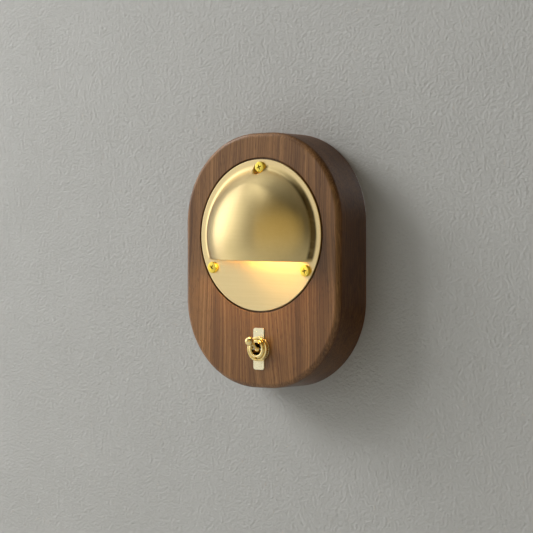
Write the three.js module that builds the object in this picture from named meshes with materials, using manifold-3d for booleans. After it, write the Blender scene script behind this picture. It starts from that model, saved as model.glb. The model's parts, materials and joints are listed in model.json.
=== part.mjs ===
// A small walnut wall light with an eyelid hood and its own toggle switch.
// Millimetres. X runs to the right and Z up. The wall is the plane Y = 0 and the front faces -Y.

import * as THREE from 'three';
import { mergeVertices } from 'three/addons/utils/BufferGeometryUtils.js';
import Module from 'manifold-3d';

const wasm = await Module();
wasm.setup();

// ---------------------------------------------------------------- driving dimensions

const GAP = 0.3;              // running and fitting clearance between neighbours

const BODY_W = 122;           // walnut housing
const BODY_H = 160;
const BODY_D = 29.2;
const CORNER_R = 55.5;
const EDGE_R = 3.4;           // rounded front edge
const BACK_EDGE_R = 0.6;

const DISC_R = 47.6;          // brass face disc
const DISC_Z = 15.8;
const DISC_TURN = 1.5;        // degrees clockwise, as the disc is screwed down
const DISC_T = 2;
const DISC_PROUD = 0.3;
const DISC_RECESS_R = 48.6;
const DISC_EDGE = 0.5;

const HOOD_BASE_R = 41.8;     // eyelid hood, part of a sphere
const HOOD_HEIGHT = 25;
const HOOD_T = 1.2;
const HOOD_FILLET = 4.5;        // its foot runs out onto the disc
const HOOD_CUT = 16;          // its level lower edge, below the disc's centre
const HOOD_NOTCH_R = 4.7;

const SCREW_CIRCLE_R = 42.5;  // face screws
const SCREW_ANGLES = { top: 90, left: 210, right: 330 };
const SCREW_HEAD_R = 3.55;
const SCREW_HEAD_H = 2;
const SCREW_R = 1.6;

const WALL_T = 10;            // side walls of the housing
const FLOOR_Y = -22;          // front end of the cavity
const PLATE_T = 1.5;          // steel back plate
const PLATE_INSET = 8;        // housing edge to rebate edge
const BOSS_X = 43;            // bosses that take the plate's screws
const BOSS_Z = 46;
const BOSS_R = 5.5;

const LENS_Z = 12;            // light under the hood, above the disc's centre
const LENS_R = 18.7;
const CAN_R = 24;
const CAN_FLOOR_Y = -17;
const CAN_SCREW_X = 31;

const TOGGLE_Z = -55.4;         // toggle switch
const BUSH_R = 5.9;
const BUSH_FRONT_Y = -33.3;
const MOUTH_R = 3.9;
const NUT_R = 7.8;
const NUT_T = 2.3;
const NUT_TEETH = 30;
const LEGEND_W = 8.5;
const LEGEND_X = -0.5;          // the strap is punched a little off its eye
const LEGEND_H = 26.2;
const LEGEND_T = 0.6;
const PIVOT_Y = -31.5;
const LEVER_TILT = 32;        // degrees each side of level
const LEVER_LENGTH = 9.7;     // pivot to the centre of the ball
const BALL_R = 2.85;
const TIP_ARM = 11;           // pivot to the centre of the plunger's round tip
const TIP_R = 1;
const ROCKER_TILT = 9;        // degrees each side of level

const DRIVER = { x0: -40, x1: 16, z0: -37, z1: -9, yBack: -6.9 };
const TERMINALS = { x0: 26, x1: 44, z0: -32, z1: -8, yBack: -8 };
const GROMMET = { x: 36, z: 12, holeR: 6.5 };
const EARTH = { x: 26, z: -50 };
const KEYHOLE = { x: 30, z: 36, headR: 4.2, slotR: 2.4, rise: 8 };

// derived planes
const DISC_FACE_Y = -BODY_D - DISC_PROUD;
const DISC_BACK_Y = DISC_FACE_Y + DISC_T;
const RECESS_Y = DISC_BACK_Y + GAP;
const LEDGE_Y = -PLATE_T - GAP;
const POCKET_Y = -26;         // the housing is thinner behind the switch
const LEGEND_FACE_Y = -BODY_D - LEGEND_T;
const NUT_BACK_Y = LEGEND_FACE_Y - GAP;
const NUT_FACE_Y = NUT_BACK_Y - NUT_T;
const FRAME_Y = -25.2;        // front face of the switch frame
const FRAME_T = 0.8;
const CASE_FRONT_Y = FRAME_Y + FRAME_T + GAP;
const CASE_BACK_Y = -12.5;
const CASE_FLOOR_Y = -14.5;
const DRIVER_FRONT_Y = FLOOR_Y + GAP;

const rad = THREE.MathUtils.degToRad;

// ---------------------------------------------------------------- making solids

// A closed three.js geometry becomes a solid, turned right side out.
function solid(geometry) {
  const bare = new THREE.BufferGeometry();
  bare.setAttribute('position', geometry.getAttribute('position'));
  if (geometry.index) bare.setIndex(geometry.index);
  const merged = mergeVertices(bare, 1e-4);
  const position = merged.getAttribute('position');
  const triangles = [];
  let volume = 0;
  const corner = [new THREE.Vector3(), new THREE.Vector3(), new THREE.Vector3()];
  for (let i = 0; i < merged.index.count; i += 3) {
    const abc = [0, 1, 2].map((k) => merged.index.getX(i + k));
    if (new Set(abc).size < 3) continue;
    abc.forEach((v, k) => corner[k].fromBufferAttribute(position, v));
    volume += corner[0].dot(corner[1].clone().cross(corner[2]));
    triangles.push(abc);
  }
  const ordered = volume < 0 ? triangles.map(([a, b, c]) => [a, c, b]) : triangles;
  const mesh = new wasm.Mesh({
    numProp: 3,
    vertProperties: new Float32Array(position.array),
    triVerts: new Uint32Array(ordered.flat()),
  });
  return new wasm.Manifold(mesh);
}

function cut(body, ...tools) {
  return tools.reduce((left, tool) => left.subtract(tool), body);
}

function join(body, ...more) {
  return more.reduce((whole, piece) => whole.add(piece), body);
}

function toGeometry(body) {
  const mesh = body.getMesh();
  const geometry = new THREE.BufferGeometry();
  geometry.setAttribute('position', new THREE.BufferAttribute(new Float32Array(mesh.vertProperties), 3));
  geometry.setIndex(new THREE.BufferAttribute(new Uint32Array(mesh.triVerts), 1));
  return geometry;
}

function box(x0, x1, y0, y1, z0, z1) {
  const geometry = new THREE.BoxGeometry(x1 - x0, y1 - y0, z1 - z0);
  geometry.translate((x0 + x1) / 2, (y0 + y1) / 2, (z0 + z1) / 2);
  return solid(geometry);
}

// A round bar along Y, standing at (x, z) and reaching from y0 to y1.
function drum(radius, y0, y1, x = 0, z = 0, sides = 24) {
  const geometry = new THREE.CylinderGeometry(radius, radius, y1 - y0, sides);
  geometry.translate(x, (y0 + y1) / 2, z);
  return solid(geometry);
}

// A round bar along X or Z.
function barX(radius, x0, x1, y, z, sides = 8) {
  const geometry = new THREE.CylinderGeometry(radius, radius, x1 - x0, sides);
  geometry.rotateZ(Math.PI / 2);
  geometry.translate((x0 + x1) / 2, y, z);
  return solid(geometry);
}

function barZ(radius, z0, z1, x, y, sides = 8) {
  const geometry = new THREE.CylinderGeometry(radius, radius, z1 - z0, sides);
  geometry.rotateX(Math.PI / 2);
  geometry.translate(x, y, (z0 + z1) / 2);
  return solid(geometry);
}

// A turned piece: its profile is a list of [radius, y] and its axis is parallel to Y at (x, z).
function turned(profile, x = 0, z = 0, sides = 24) {
  const points = profile.map(([r, y]) => new THREE.Vector2(r, y));
  const geometry = new THREE.LatheGeometry(points, sides);
  geometry.translate(x, 0, z);
  return solid(geometry);
}

function turnedRing(profile, x = 0, z = 0, sides = 24) {
  return turned([...profile, profile[0]], x, z, sides);
}

// A flat outline in X and Z, made solid from y0 (front) to y1 (back).
function slab(points, y0, y1) {
  const shape = new THREE.Shape(points.map(([x, z]) => new THREE.Vector2(x, z)));
  const geometry = new THREE.ExtrudeGeometry(shape, { depth: y1 - y0, bevelEnabled: false });
  geometry.rotateX(Math.PI / 2);
  geometry.translate(0, y1, 0);
  return solid(geometry);
}

// An outline in Y and Z, made solid across X from -width / 2 to width / 2.
function strip(points, width) {
  const shape = new THREE.Shape(points.map(([y, z]) => new THREE.Vector2(y, z)));
  const geometry = new THREE.ExtrudeGeometry(shape, { depth: width, bevelEnabled: false });
  geometry.translate(0, 0, -width / 2);
  const yz = new THREE.Matrix4().set(0, 0, 1, 0, 1, 0, 0, 0, 0, 1, 0, 0, 0, 0, 0, 1);
  geometry.applyMatrix4(yz);
  return solid(geometry);
}

function roundedOutline(width, height, radius, arcSteps, x = 0, z = 0) {
  const points = [];
  const corners = [[1, 1, 0], [-1, 1, 90], [-1, -1, 180], [1, -1, 270]];
  for (const [sx, sz, start] of corners) {
    for (let i = 0; i <= arcSteps; i += 1) {
      const a = rad(start + (90 * i) / arcSteps);
      points.push([
        x + sx * (width / 2 - radius) + radius * Math.cos(a),
        z + sz * (height / 2 - radius) + radius * Math.sin(a),
      ]);
    }
  }
  return points;
}

// Rings of equal count, each a list of [x, y, z], joined by walls and closed by a fan at each end.
function lofted(rings) {
  const count = rings[0].length;
  const middle = (ring) => [0, ring[0][1], 0];
  const vertices = [...rings.flat(), middle(rings[0]), middle(rings[rings.length - 1])];
  const first = rings.length * count;
  const index = [];
  for (let i = 0; i < count; i += 1) {
    const j = (i + 1) % count;
    for (let k = 0; k < rings.length - 1; k += 1) {
      const a = k * count;
      const b = a + count;
      index.push(a + i, a + j, b + i, a + j, b + j, b + i);
    }
    const last = (rings.length - 1) * count;
    index.push(first, j, i, first + 1, last + i, last + j);
  }
  const geometry = new THREE.BufferGeometry();
  geometry.setAttribute('position', new THREE.Float32BufferAttribute(vertices.flat(), 3));
  geometry.setIndex(index);
  return solid(geometry);
}

// An insulated wire: a round tube of eight sides along a smooth route.
function wire(route, radius, steps = 16) {
  const curve = new THREE.CatmullRomCurve3(route.map((p) => new THREE.Vector3(...p)), false, 'centripetal');
  const section = new THREE.Shape();
  section.absarc(0, 0, radius, 0, Math.PI * 2);
  const geometry = new THREE.ExtrudeGeometry(section, { steps, curveSegments: 4, extrudePath: curve });
  return solid(geometry);
}

// A screw along Y with a domed head and a cross recess. facing is -1 with its head to the front and
// 1 with its head to the back, seat is the plane under the head and tip the far end of the shank.
function crossScrew({ x, z, seat, tip, facing, headR, headH, shankR, sides = 10 }) {
  const profile = [
    [0, tip],
    [shankR, tip],
    [shankR, seat],
    [headR, seat],
    [headR, seat + facing * headH * 0.4],
    [headR * 0.7, seat + facing * headH],
    [0, seat + facing * headH],
  ];
  const reach = headR * 0.55;
  const half = headR * 0.11;
  const top = seat + facing * (headH + 1);
  const bottom = seat + facing * headH * 0.4;
  const y0 = Math.min(top, bottom);
  const y1 = Math.max(top, bottom);
  return cut(
    turned(profile, x, z, sides),
    box(x - reach, x + reach, y0, y1, z - half, z + half),
    box(x - half, x + half, y0, y1, z - reach, z + reach),
  );
}

// ---------------------------------------------------------------- the assembly

const light = new THREE.Group();

// The disc, the hood and all that they carry turn together about the disc's axis.
// In this group z is counted from the disc's centre.
const lamp = new THREE.Group();
lamp.position.z = DISC_Z;
lamp.rotation.y = rad(DISC_TURN);
light.add(lamp);

const FINISHES = {
  walnut: ['#7a573b', 0.55, 0],
  brushedBrass: ['#d9bf84', 0.35, 1],
  polishedBrass: ['#e0b23c', 0.15, 1],
  steel: ['#a9abad', 0.4, 1],
  copper: ['#b5703f', 0.35, 1],
  aluminium: ['#c2c4c6', 0.45, 1],
  boardWhite: ['#e9e9e4', 0.5, 0],
  boardGreen: ['#2f6b45', 0.5, 0],
  phosphor: ['#e6c83c', 0.5, 0],
  frosted: ['#f4eedd', 0.6, 0],
  phenolic: ['#2b221c', 0.5, 0],
  whitePlastic: ['#dcdcd6', 0.5, 0],
  blackPlastic: ['#1f2022', 0.55, 0],
  nylon: ['#e3dfd0', 0.5, 0],
  rubber: ['#232323', 0.8, 0],
  liveBrown: ['#6b3f22', 0.5, 0],
  neutralBlue: ['#2b5fa8', 0.5, 0],
  earthGreen: ['#5d9a3a', 0.5, 0],
  ledRed: ['#b02a25', 0.5, 0],
  ledBlack: ['#26262a', 0.5, 0],
};

function addPiece(name, body, finish, group = light) {
  const [color, roughness, metalness] = FINISHES[finish];
  const material = new THREE.MeshStandardMaterial({ color, roughness, metalness });
  const mesh = new THREE.Mesh(toGeometry(body), material);
  mesh.name = name;
  group.add(mesh);
}

// Centres of the three face screws, by name, about the disc's own centre.
const faceScrews = Object.entries(SCREW_ANGLES).map(([name, angle]) => ({
  name,
  x: SCREW_CIRCLE_R * Math.cos(rad(angle)),
  z: SCREW_CIRCLE_R * Math.sin(rad(angle)),
}));

// The same centres in the housing.
const insertHoles = Object.values(SCREW_ANGLES).map((angle) => ({
  x: SCREW_CIRCLE_R * Math.cos(rad(angle - DISC_TURN)),
  z: DISC_Z + SCREW_CIRCLE_R * Math.sin(rad(angle - DISC_TURN)),
}));

const plateScrews = [
  { name: 'top_left', x: -BOSS_X, z: BOSS_Z },
  { name: 'top_right', x: BOSS_X, z: BOSS_Z },
  { name: 'bottom_left', x: -BOSS_X, z: -BOSS_Z },
  { name: 'bottom_right', x: BOSS_X, z: -BOSS_Z },
];

const driverScrews = [
  { name: 'left', x: DRIVER.x0 - 3, z: -22 },
  { name: 'right', x: DRIVER.x1 + 3, z: -22 },
];

const blockScrew = { x: 37.5, z: -24 };
const poleZ = [-28, -20, -12];
const WIRE_ENTRY_Y = -15;

// ---------------------------------------------------------------- housing

function housingBlank() {
  const arcSteps = 8;
  const edgeSteps = 4;
  const ring = (inset, y) => roundedOutline(
    BODY_W - 2 * inset, BODY_H - 2 * inset, CORNER_R - inset, arcSteps,
  ).map(([x, z]) => [x, y, z]);
  const rings = [ring(BACK_EDGE_R, 0), ring(0, -BACK_EDGE_R)];
  for (let i = 0; i <= edgeSteps; i += 1) {
    const a = rad((90 * i) / edgeSteps);
    rings.push(ring(EDGE_R * (1 - Math.cos(a)), -BODY_D + EDGE_R * (1 - Math.sin(a))));
  }
  return lofted(rings);
}

function cavity() {
  const inner = roundedOutline(BODY_W - 2 * WALL_T, BODY_H - 2 * WALL_T, CORNER_R - WALL_T, 7);
  const bosses = plateScrews.map(({ x, z }) => drum(BOSS_R, FLOOR_Y - 1, 1, x, z, 12));
  return cut(slab(inner, FLOOR_Y, 0.5), ...bosses);
}

function housing() {
  const rebate = roundedOutline(
    BODY_W - 2 * PLATE_INSET, BODY_H - 2 * PLATE_INSET, CORNER_R - PLATE_INSET, 8,
  );
  return cut(
    housingBlank(),
    cavity(),
    slab(rebate, LEDGE_Y, 1),
    drum(DISC_RECESS_R, -BODY_D - 1, RECESS_Y, 0, DISC_Z, 56),
    drum(37.5, -BODY_D, FLOOR_Y + 1, 0, DISC_Z, 36),
    box(-12, 12, POCKET_Y, FLOOR_Y + 1, TOGGLE_Z - 13, TOGGLE_Z + 13),
    drum(BUSH_R + GAP, -BODY_D - 1, POCKET_Y + 1, 0, TOGGLE_Z, 24),
    ...insertHoles.map(({ x, z }) => drum(3.4, RECESS_Y - 1, FLOOR_Y + 1, x, z, 12)),
    ...plateScrews.map(({ x, z }) => drum(1.7, -15, LEDGE_Y + 1, x, z, 8)),
    ...driverScrews.map(({ x, z }) => drum(1.7, -25.3, FLOOR_Y + 1, x, z, 8)),
    drum(1.7, -25.3, FLOOR_Y + 1, blockScrew.x, blockScrew.z, 8),
  );
}

addPiece('wood_housing', housing(), 'walnut');

// ---------------------------------------------------------------- back plate and what it carries

function keyhole(side) {
  const x = side * KEYHOLE.x;
  const y0 = -PLATE_T - 1;
  return join(
    drum(KEYHOLE.headR, y0, 1, x, KEYHOLE.z, 16),
    drum(KEYHOLE.slotR, y0, 1, x, KEYHOLE.z + KEYHOLE.rise, 12),
    box(x - KEYHOLE.slotR, x + KEYHOLE.slotR, y0, 1, KEYHOLE.z, KEYHOLE.z + KEYHOLE.rise),
  );
}

function countersink(x, z) {
  const wide = 3.35;
  return turned([[0, -2.5], [1.85, -2.5], [1.85, -PLATE_T], [wide, 0], [wide, 1], [0, 1]], x, z, 12);
}

function backPlate() {
  const inset = PLATE_INSET + 0.5;
  const edge = roundedOutline(BODY_W - 2 * inset, BODY_H - 2 * inset, CORNER_R - inset, 8);
  return cut(
    slab(edge, -PLATE_T, 0),
    keyhole(-1),
    keyhole(1),
    drum(GROMMET.holeR, -PLATE_T - 1, 1, GROMMET.x, GROMMET.z, 20),
    drum(2.2, -PLATE_T - 1, 1, EARTH.x, EARTH.z, 12),
    ...plateScrews.map(({ x, z }) => countersink(x, z)),
  );
}

addPiece('back_plate', backPlate(), 'steel');

for (const { name, x, z } of plateScrews) {
  const profile = [[0, -14], [0.4, -14], [1.4, -12.5], [1.4, -1.6], [2.9, -0.1], [0, -0.1]];
  const slots = [
    box(x - 1.7, x + 1.7, -0.9, 1, z - 0.35, z + 0.35),
    box(x - 0.35, x + 0.35, -0.9, 1, z - 1.7, z + 1.7),
  ];
  addPiece(`plate_screw_${name}`, cut(turned(profile, x, z, 12), ...slots), 'steel');
}

const grommetProfile = [
  [4.2, -3.3], [8, -3.3], [8, LEDGE_Y],
  [GROMMET.holeR - GAP, LEDGE_Y], [GROMMET.holeR - GAP, -0.1], [4.2, -0.1],
];
addPiece('cable_grommet', turnedRing(grommetProfile, GROMMET.x, GROMMET.z, 20), 'rubber');

addPiece('earth_screw', crossScrew({
  ...EARTH, seat: -2.7, tip: -0.2, facing: -1, headR: 3.4, headH: 1.9, shankR: 1.9,
}), 'steel');

const lugRing = cut(
  join(drum(3.5, -2.6, LEDGE_Y, EARTH.x, EARTH.z, 16), box(24.6, 27.4, -2.6, LEDGE_Y, -47, -43.5)),
  drum(2.2, -4, 0, EARTH.x, EARTH.z, 12),
);
addPiece('earth_lug', lugRing, 'copper');

// ---------------------------------------------------------------- face disc, hood and face screws

function faceDisc() {
  const blank = turned([
    [0, DISC_BACK_Y],
    [DISC_R, DISC_BACK_Y],
    [DISC_R, DISC_FACE_Y + DISC_EDGE],
    [DISC_R - DISC_EDGE, DISC_FACE_Y],
    [0, DISC_FACE_Y],
  ], 0, 0, 56);
  const bosses = [-1, 1].map((side) => cut(
    drum(3.5, DISC_BACK_Y - 0.5, -23.5, side * CAN_SCREW_X, LENS_Z, 16),
    drum(1.8, DISC_BACK_Y, -23, side * CAN_SCREW_X, LENS_Z, 12),
  ));
  return cut(
    join(blank, ...bosses),
    drum(LENS_R + GAP, DISC_FACE_Y - 1, DISC_BACK_Y + 1, 0, LENS_Z, 32),
    ...faceScrews.map(({ x, z }) => drum(SCREW_R + GAP, DISC_FACE_Y - 1, DISC_BACK_Y + 1, x, z, 10)),
  );
}

addPiece('face_disc', faceDisc(), 'brushedBrass', lamp);

function hood() {
  const sphereR = (HOOD_BASE_R ** 2 + HOOD_HEIGHT ** 2) / (2 * HOOD_HEIGHT);
  const centreY = DISC_FACE_Y + sphereR - HOOD_HEIGHT;
  const drop = centreY - DISC_FACE_Y;
  const arc = (radius, end, steps) => Array.from({ length: steps + 1 }, (_, i) => {
    const a = (end * i) / steps;
    return [radius * Math.sin(a), centreY - radius * Math.cos(a)];
  });
  // The fillet touches the sphere where both have the same slope, and the disc at its foot.
  const meet = Math.acos((drop + HOOD_FILLET) / (sphereR + HOOD_FILLET));
  const footR = (sphereR + HOOD_FILLET) * Math.sin(meet);
  const filletSteps = 4;
  const fillet = Array.from({ length: filletSteps }, (_, i) => {
    const a = meet * (1 - (i + 1) / filletSteps);
    return [footR - HOOD_FILLET * Math.sin(a), DISC_FACE_Y - HOOD_FILLET * (1 - Math.cos(a))];
  });
  const innerR = sphereR - HOOD_T;
  const profile = [
    ...arc(sphereR, meet, 9), ...fillet, ...arc(innerR, Math.acos(drop / innerR), 7).reverse(),
  ];
  const notch = faceScrews.find(({ name }) => name === 'top');
  return cut(
    turned(profile, 0, 0, 40),
    box(-60, 60, -70, 0, -HOOD_CUT - 60, -HOOD_CUT),
    drum(HOOD_NOTCH_R, -70, DISC_FACE_Y + 1, notch.x, notch.z, 16),
  );
}

addPiece('hood', hood(), 'brushedBrass', lamp);

for (const { name, x, z } of faceScrews) {
  addPiece(`face_screw_${name}`, crossScrew({
    x, z, seat: DISC_FACE_Y, tip: -21.5, facing: -1,
    headR: SCREW_HEAD_R, headH: SCREW_HEAD_H, shankR: SCREW_R, sides: 18,
  }), 'polishedBrass', lamp);
  const bore = SCREW_R + GAP;
  const insert = turnedRing([[bore, -26.9], [3, -26.9], [3, FLOOR_Y], [bore, FLOOR_Y]], x, z, 12);
  addPiece(`threaded_insert_${name}`, insert, 'polishedBrass', lamp);
}

// ---------------------------------------------------------------- light under the hood

function lampCan() {
  const shell = turned([
    [0, CAN_FLOOR_Y],
    [CAN_R - 1.8, CAN_FLOOR_Y],
    [CAN_R - 1.8, RECESS_Y],
    [CAN_R, RECESS_Y],
    [CAN_R, CAN_FLOOR_Y + 2],
    [0, CAN_FLOOR_Y + 2],
  ], 0, LENS_Z, 28);
  const lugs = [-1, 1].map((side) => {
    const x = side * CAN_SCREW_X;
    const x0 = Math.min(side * (CAN_R - 1), x);
    const x1 = Math.max(side * (CAN_R - 1), x);
    return cut(
      join(box(x0, x1, -23.2, -21.7, LENS_Z - 4, LENS_Z + 4), drum(4, -23.2, -21.7, x, LENS_Z, 12)),
      drum(1.8, -24, -21, x, LENS_Z, 10),
    );
  });
  const fins = [-12, -6, 0, 6, 12].map((x) => (
    box(x - 0.8, x + 0.8, CAN_FLOOR_Y + 1.5, CAN_FLOOR_Y + 5.5, LENS_Z - 13, LENS_Z + 13)
  ));
  return cut(
    join(shell, ...lugs, ...fins),
    drum(2.6, CAN_FLOOR_Y - 1, CAN_FLOOR_Y + 3, 0, LENS_Z - 17, 12),
    ...[-1, 1].map((side) => drum(1.3, CAN_FLOOR_Y - 1, CAN_FLOOR_Y + 3, side * 17.5, LENS_Z, 8)),
  );
}

addPiece('lamp_can', lampCan(), 'aluminium', lamp);

for (const [name, side] of [['left', -1], ['right', 1]]) {
  addPiece(`can_screw_${name}`, crossScrew({
    x: side * CAN_SCREW_X, z: LENS_Z, seat: -21.6, tip: -26.6, facing: 1, headR: 2.7, headH: 1.7, shankR: 1.5,
  }), 'steel', lamp);
  addPiece(`board_screw_${name}`, crossScrew({
    x: side * 17.5, z: LENS_Z, seat: -18.8, tip: -15.3, facing: -1, headR: 2.1, headH: 1.3, shankR: 1,
  }), 'steel', lamp);
}

const ledBoard = cut(
  drum(21, -18.7, CAN_FLOOR_Y - 0.1, 0, LENS_Z, 28),
  drum(2.4, -20, -16, 0, LENS_Z - 17, 12),
  drum(1.3, -20, -16, -17.5, LENS_Z, 8),
  drum(1.3, -20, -16, 17.5, LENS_Z, 8),
);
addPiece('led_board', ledBoard, 'boardWhite', lamp);
addPiece('led_emitter', drum(9, -19.8, -18.8, 0, LENS_Z, 20), 'phosphor', lamp);

function lens() {
  const dome = Array.from({ length: 5 }, (_, i) => {
    const a = rad((90 * (4 - i)) / 4);
    return [LENS_R * Math.sin(a), DISC_FACE_Y + 0.2 - 1.6 * Math.cos(a)];
  });
  return turned([
    [0, -26.2], [LENS_R + 2.9, -26.2], [LENS_R + 2.9, RECESS_Y], [LENS_R, RECESS_Y], ...dome,
  ], 0, LENS_Z, 28);
}

addPiece('diffuser_lens', lens(), 'frosted', lamp);

// ---------------------------------------------------------------- toggle switch, fixed pieces

function legendPlate() {
  const strap = slab(roundedOutline(LEGEND_W, LEGEND_H, 1.5, 3, LEGEND_X, TOGGLE_Z), LEGEND_FACE_Y, -BODY_D);
  const eye = drum(NUT_R - GAP, LEGEND_FACE_Y, -BODY_D, 0, TOGGLE_Z, 24);
  return cut(join(strap, eye), drum(BUSH_R + GAP, LEGEND_FACE_Y - 1, 0, 0, TOGGLE_Z, 24));
}

addPiece('legend_plate', legendPlate(), 'polishedBrass');

function knurledNut() {
  const teeth = Array.from({ length: NUT_TEETH * 2 }, (_, i) => {
    const a = (Math.PI * i) / NUT_TEETH;
    const r = i % 2 ? NUT_R - 0.3 : NUT_R;
    return [r * Math.cos(a), TOGGLE_Z + r * Math.sin(a)];
  });
  const ring = slab(teeth, NUT_FACE_Y, NUT_BACK_Y);
  return cut(ring, drum(BUSH_R + GAP, NUT_FACE_Y - 1, NUT_BACK_Y + 1, 0, TOGGLE_Z, 24));
}

addPiece('knurled_nut', knurledNut(), 'polishedBrass');

function bushing() {
  const rear = FRAME_Y - 0.1;
  const barrel = turnedRing([
    [MOUTH_R + 0.5, BUSH_FRONT_Y], [BUSH_R - 0.7, BUSH_FRONT_Y], [BUSH_R, BUSH_FRONT_Y + 0.7],
    [BUSH_R, rear], [BUSH_R - 0.5, rear], [MOUTH_R, PIVOT_Y + 1.5], [MOUTH_R, BUSH_FRONT_Y + 0.5],
  ], 0, TOGGLE_Z, 24);
  return cut(
    barrel,
    box(-0.85, 0.85, BUSH_FRONT_Y - 1, NUT_BACK_Y, TOGGLE_Z - BUSH_R - 1, TOGGLE_Z - BUSH_R + 1),
    barX(0.8, -7, 7, PIVOT_Y, TOGGLE_Z),
  );
}

addPiece('bushing', bushing(), 'polishedBrass');
addPiece('lever_pin', barX(0.5, -5.3, 5.3, PIVOT_Y, TOGGLE_Z), 'steel');

function lockWasher() {
  const teeth = 10;
  const points = Array.from({ length: teeth * 4 }, (_, i) => {
    const a = (Math.PI * 2 * i) / (teeth * 4);
    const r = i % 4 < 2 ? 8.6 : 7.6;
    return [r * Math.cos(a), TOGGLE_Z + r * Math.sin(a)];
  });
  return cut(slab(points, -25.85, -25.35), drum(BUSH_R + GAP, -27, -24, 0, TOGGLE_Z, 20));
}

addPiece('lock_washer', lockWasher(), 'steel');

function switchFrame() {
  const back = FRAME_Y + FRAME_T;
  const tabs = [-1, 1].map((side) => (
    box(side < 0 ? -8.4 : 7.7, side < 0 ? -7.7 : 8.4, FRAME_Y, -18.5, TOGGLE_Z - 4.5, TOGGLE_Z + 4.5)
  ));
  return cut(
    join(
      box(-7.6, 7.6, FRAME_Y, back, TOGGLE_Z - 12, TOGGLE_Z + 12),
      box(-8.4, 8.4, FRAME_Y, back, TOGGLE_Z - 4.5, TOGGLE_Z + 4.5),
      ...tabs,
    ),
    drum(6.2, FRAME_Y - 1, back + 1, 0, TOGGLE_Z, 20),
  );
}

addPiece('switch_frame', switchFrame(), 'steel');

// Where each terminal strap passes the floor of the case, and where its screw stands.
const COMMON_SCREW_Z = TOGGLE_Z + 5;
const LOAD_STRAP_Z = TOGGLE_Z - 7.3;
const LOAD_SCREW_Z = TOGGLE_Z - 4.4;
const STRAP_HALF = 0.4;

function switchCase() {
  const slot = (z) => box(
    -2.3, 2.3, CASE_FLOOR_Y - 1, CASE_BACK_Y + 1, z - STRAP_HALF - GAP, z + STRAP_HALF + GAP,
  );
  return cut(
    box(-7.3, 7.3, CASE_FRONT_Y, CASE_BACK_Y, TOGGLE_Z - 11.7, TOGGLE_Z + 11.7),
    box(-5.3, 5.3, CASE_FRONT_Y - 1, CASE_FLOOR_Y, TOGGLE_Z - 9.7, TOGGLE_Z + 9.7),
    slot(TOGGLE_Z),
    slot(LOAD_STRAP_Z),
    drum(1.5, CASE_FLOOR_Y - 1, CASE_BACK_Y + 1, 0, COMMON_SCREW_Z, 8),
    drum(1.5, CASE_FLOOR_Y - 1, CASE_BACK_Y + 1, 0, LOAD_SCREW_Z, 8),
  );
}

addPiece('switch_case', switchCase(), 'phenolic');

// ---------------------------------------------------------------- toggle switch, moving pieces

// The lever's own frame: the pivot is its origin, the handle runs to -Y and the tail to +Y.
const lever = new THREE.Group();
lever.position.set(0, PIVOT_Y, TOGGLE_Z);
lever.rotation.x = rad(-LEVER_TILT);
light.add(lever);

const TAIL_END = 5;

function toggleLever() {
  const pivotR = 1.9;
  const tailR = 1.3;
  const neckR = 1.15;
  const boreR = 0.85;
  const arc = (radius, y, from, to, steps) => Array.from({ length: steps + 1 }, (_, i) => {
    const a = rad(from + ((to - from) * i) / steps);
    return [radius * Math.sin(a), y - radius * Math.cos(a)];
  });
  const neckAngle = THREE.MathUtils.radToDeg(Math.asin(neckR / BALL_R));
  const pivotFront = THREE.MathUtils.radToDeg(Math.asin(neckR / pivotR));
  const pivotBack = 180 - THREE.MathUtils.radToDeg(Math.asin(tailR / pivotR));
  const profile = [
    ...arc(BALL_R, -LEVER_LENGTH, 0, 180 - neckAngle, 7),
    ...arc(pivotR, 0, pivotFront, pivotBack, 5),
    [tailR, TAIL_END],
    [boreR, TAIL_END],
    [boreR, 1.2],
    [0, 1.2],
  ];
  profile[0][0] = 0;
  return cut(turned(profile, 0, 0, 14), barX(0.8, -4, 4, 0, 0));
}

addPiece('toggle_lever', toggleLever(), 'polishedBrass', lever);

const TIP_SHOULDER = TAIL_END + 0.9;
const plungerTip = Array.from({ length: 5 }, (_, i) => {
  const a = rad((90 * i) / 4);
  return [TIP_R * Math.cos(a), TIP_ARM + TIP_R * Math.sin(a)];
});
plungerTip[4][0] = 0;
const plungerProfile = [[0, 3.9], [0.55, 3.9], [0.55, TIP_SHOULDER], [TIP_R, TIP_SHOULDER], ...plungerTip];
addPiece('plunger', turned(plungerProfile, 0, 0, 12), 'nylon', lever);

class Helix extends THREE.Curve {
  constructor(radius, y0, y1, turns) {
    super();
    Object.assign(this, { radius, y0, y1, turns });
  }

  getPoint(t, target = new THREE.Vector3()) {
    const a = t * this.turns * Math.PI * 2;
    return target.set(
      this.radius * Math.cos(a), this.y0 + t * (this.y1 - this.y0), this.radius * Math.sin(a),
    );
  }
}

function plungerSpring() {
  const section = new THREE.Shape();
  section.absarc(0, 0, 0.11, 0, Math.PI * 2);
  const coil = new Helix(0.42, 1.5, 2.9, 3);
  const geometry = new THREE.ExtrudeGeometry(section, { steps: 24, curveSegments: 2, extrudePath: coil });
  return solid(geometry);
}

addPiece('plunger_spring', plungerSpring(), 'steel', lever);

// The seesaw contact rocks on the ridge of the common terminal. Its trough is the path of the
// plunger's tip, seen from the rocking contact, moved back by the tip's radius and a clearance.
const TROUGH_OFFSET = TIP_R + GAP;
const ROCKER_T = 0.7;
const ROCKER_Y = PIVOT_Y + TIP_ARM + TROUGH_OFFSET + ROCKER_T;   // its rocking axis
const ROCKER_REACH = 8.6;
const CONTACT_Z = 7.3;
const CONTACT_H = 0.7;

// Turns a point [y, z] by an angle in degrees about the X axis through the origin.
function turnX([y, z], degrees) {
  const a = rad(degrees);
  return [y * Math.cos(a) - z * Math.sin(a), y * Math.sin(a) + z * Math.cos(a)];
}

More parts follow.
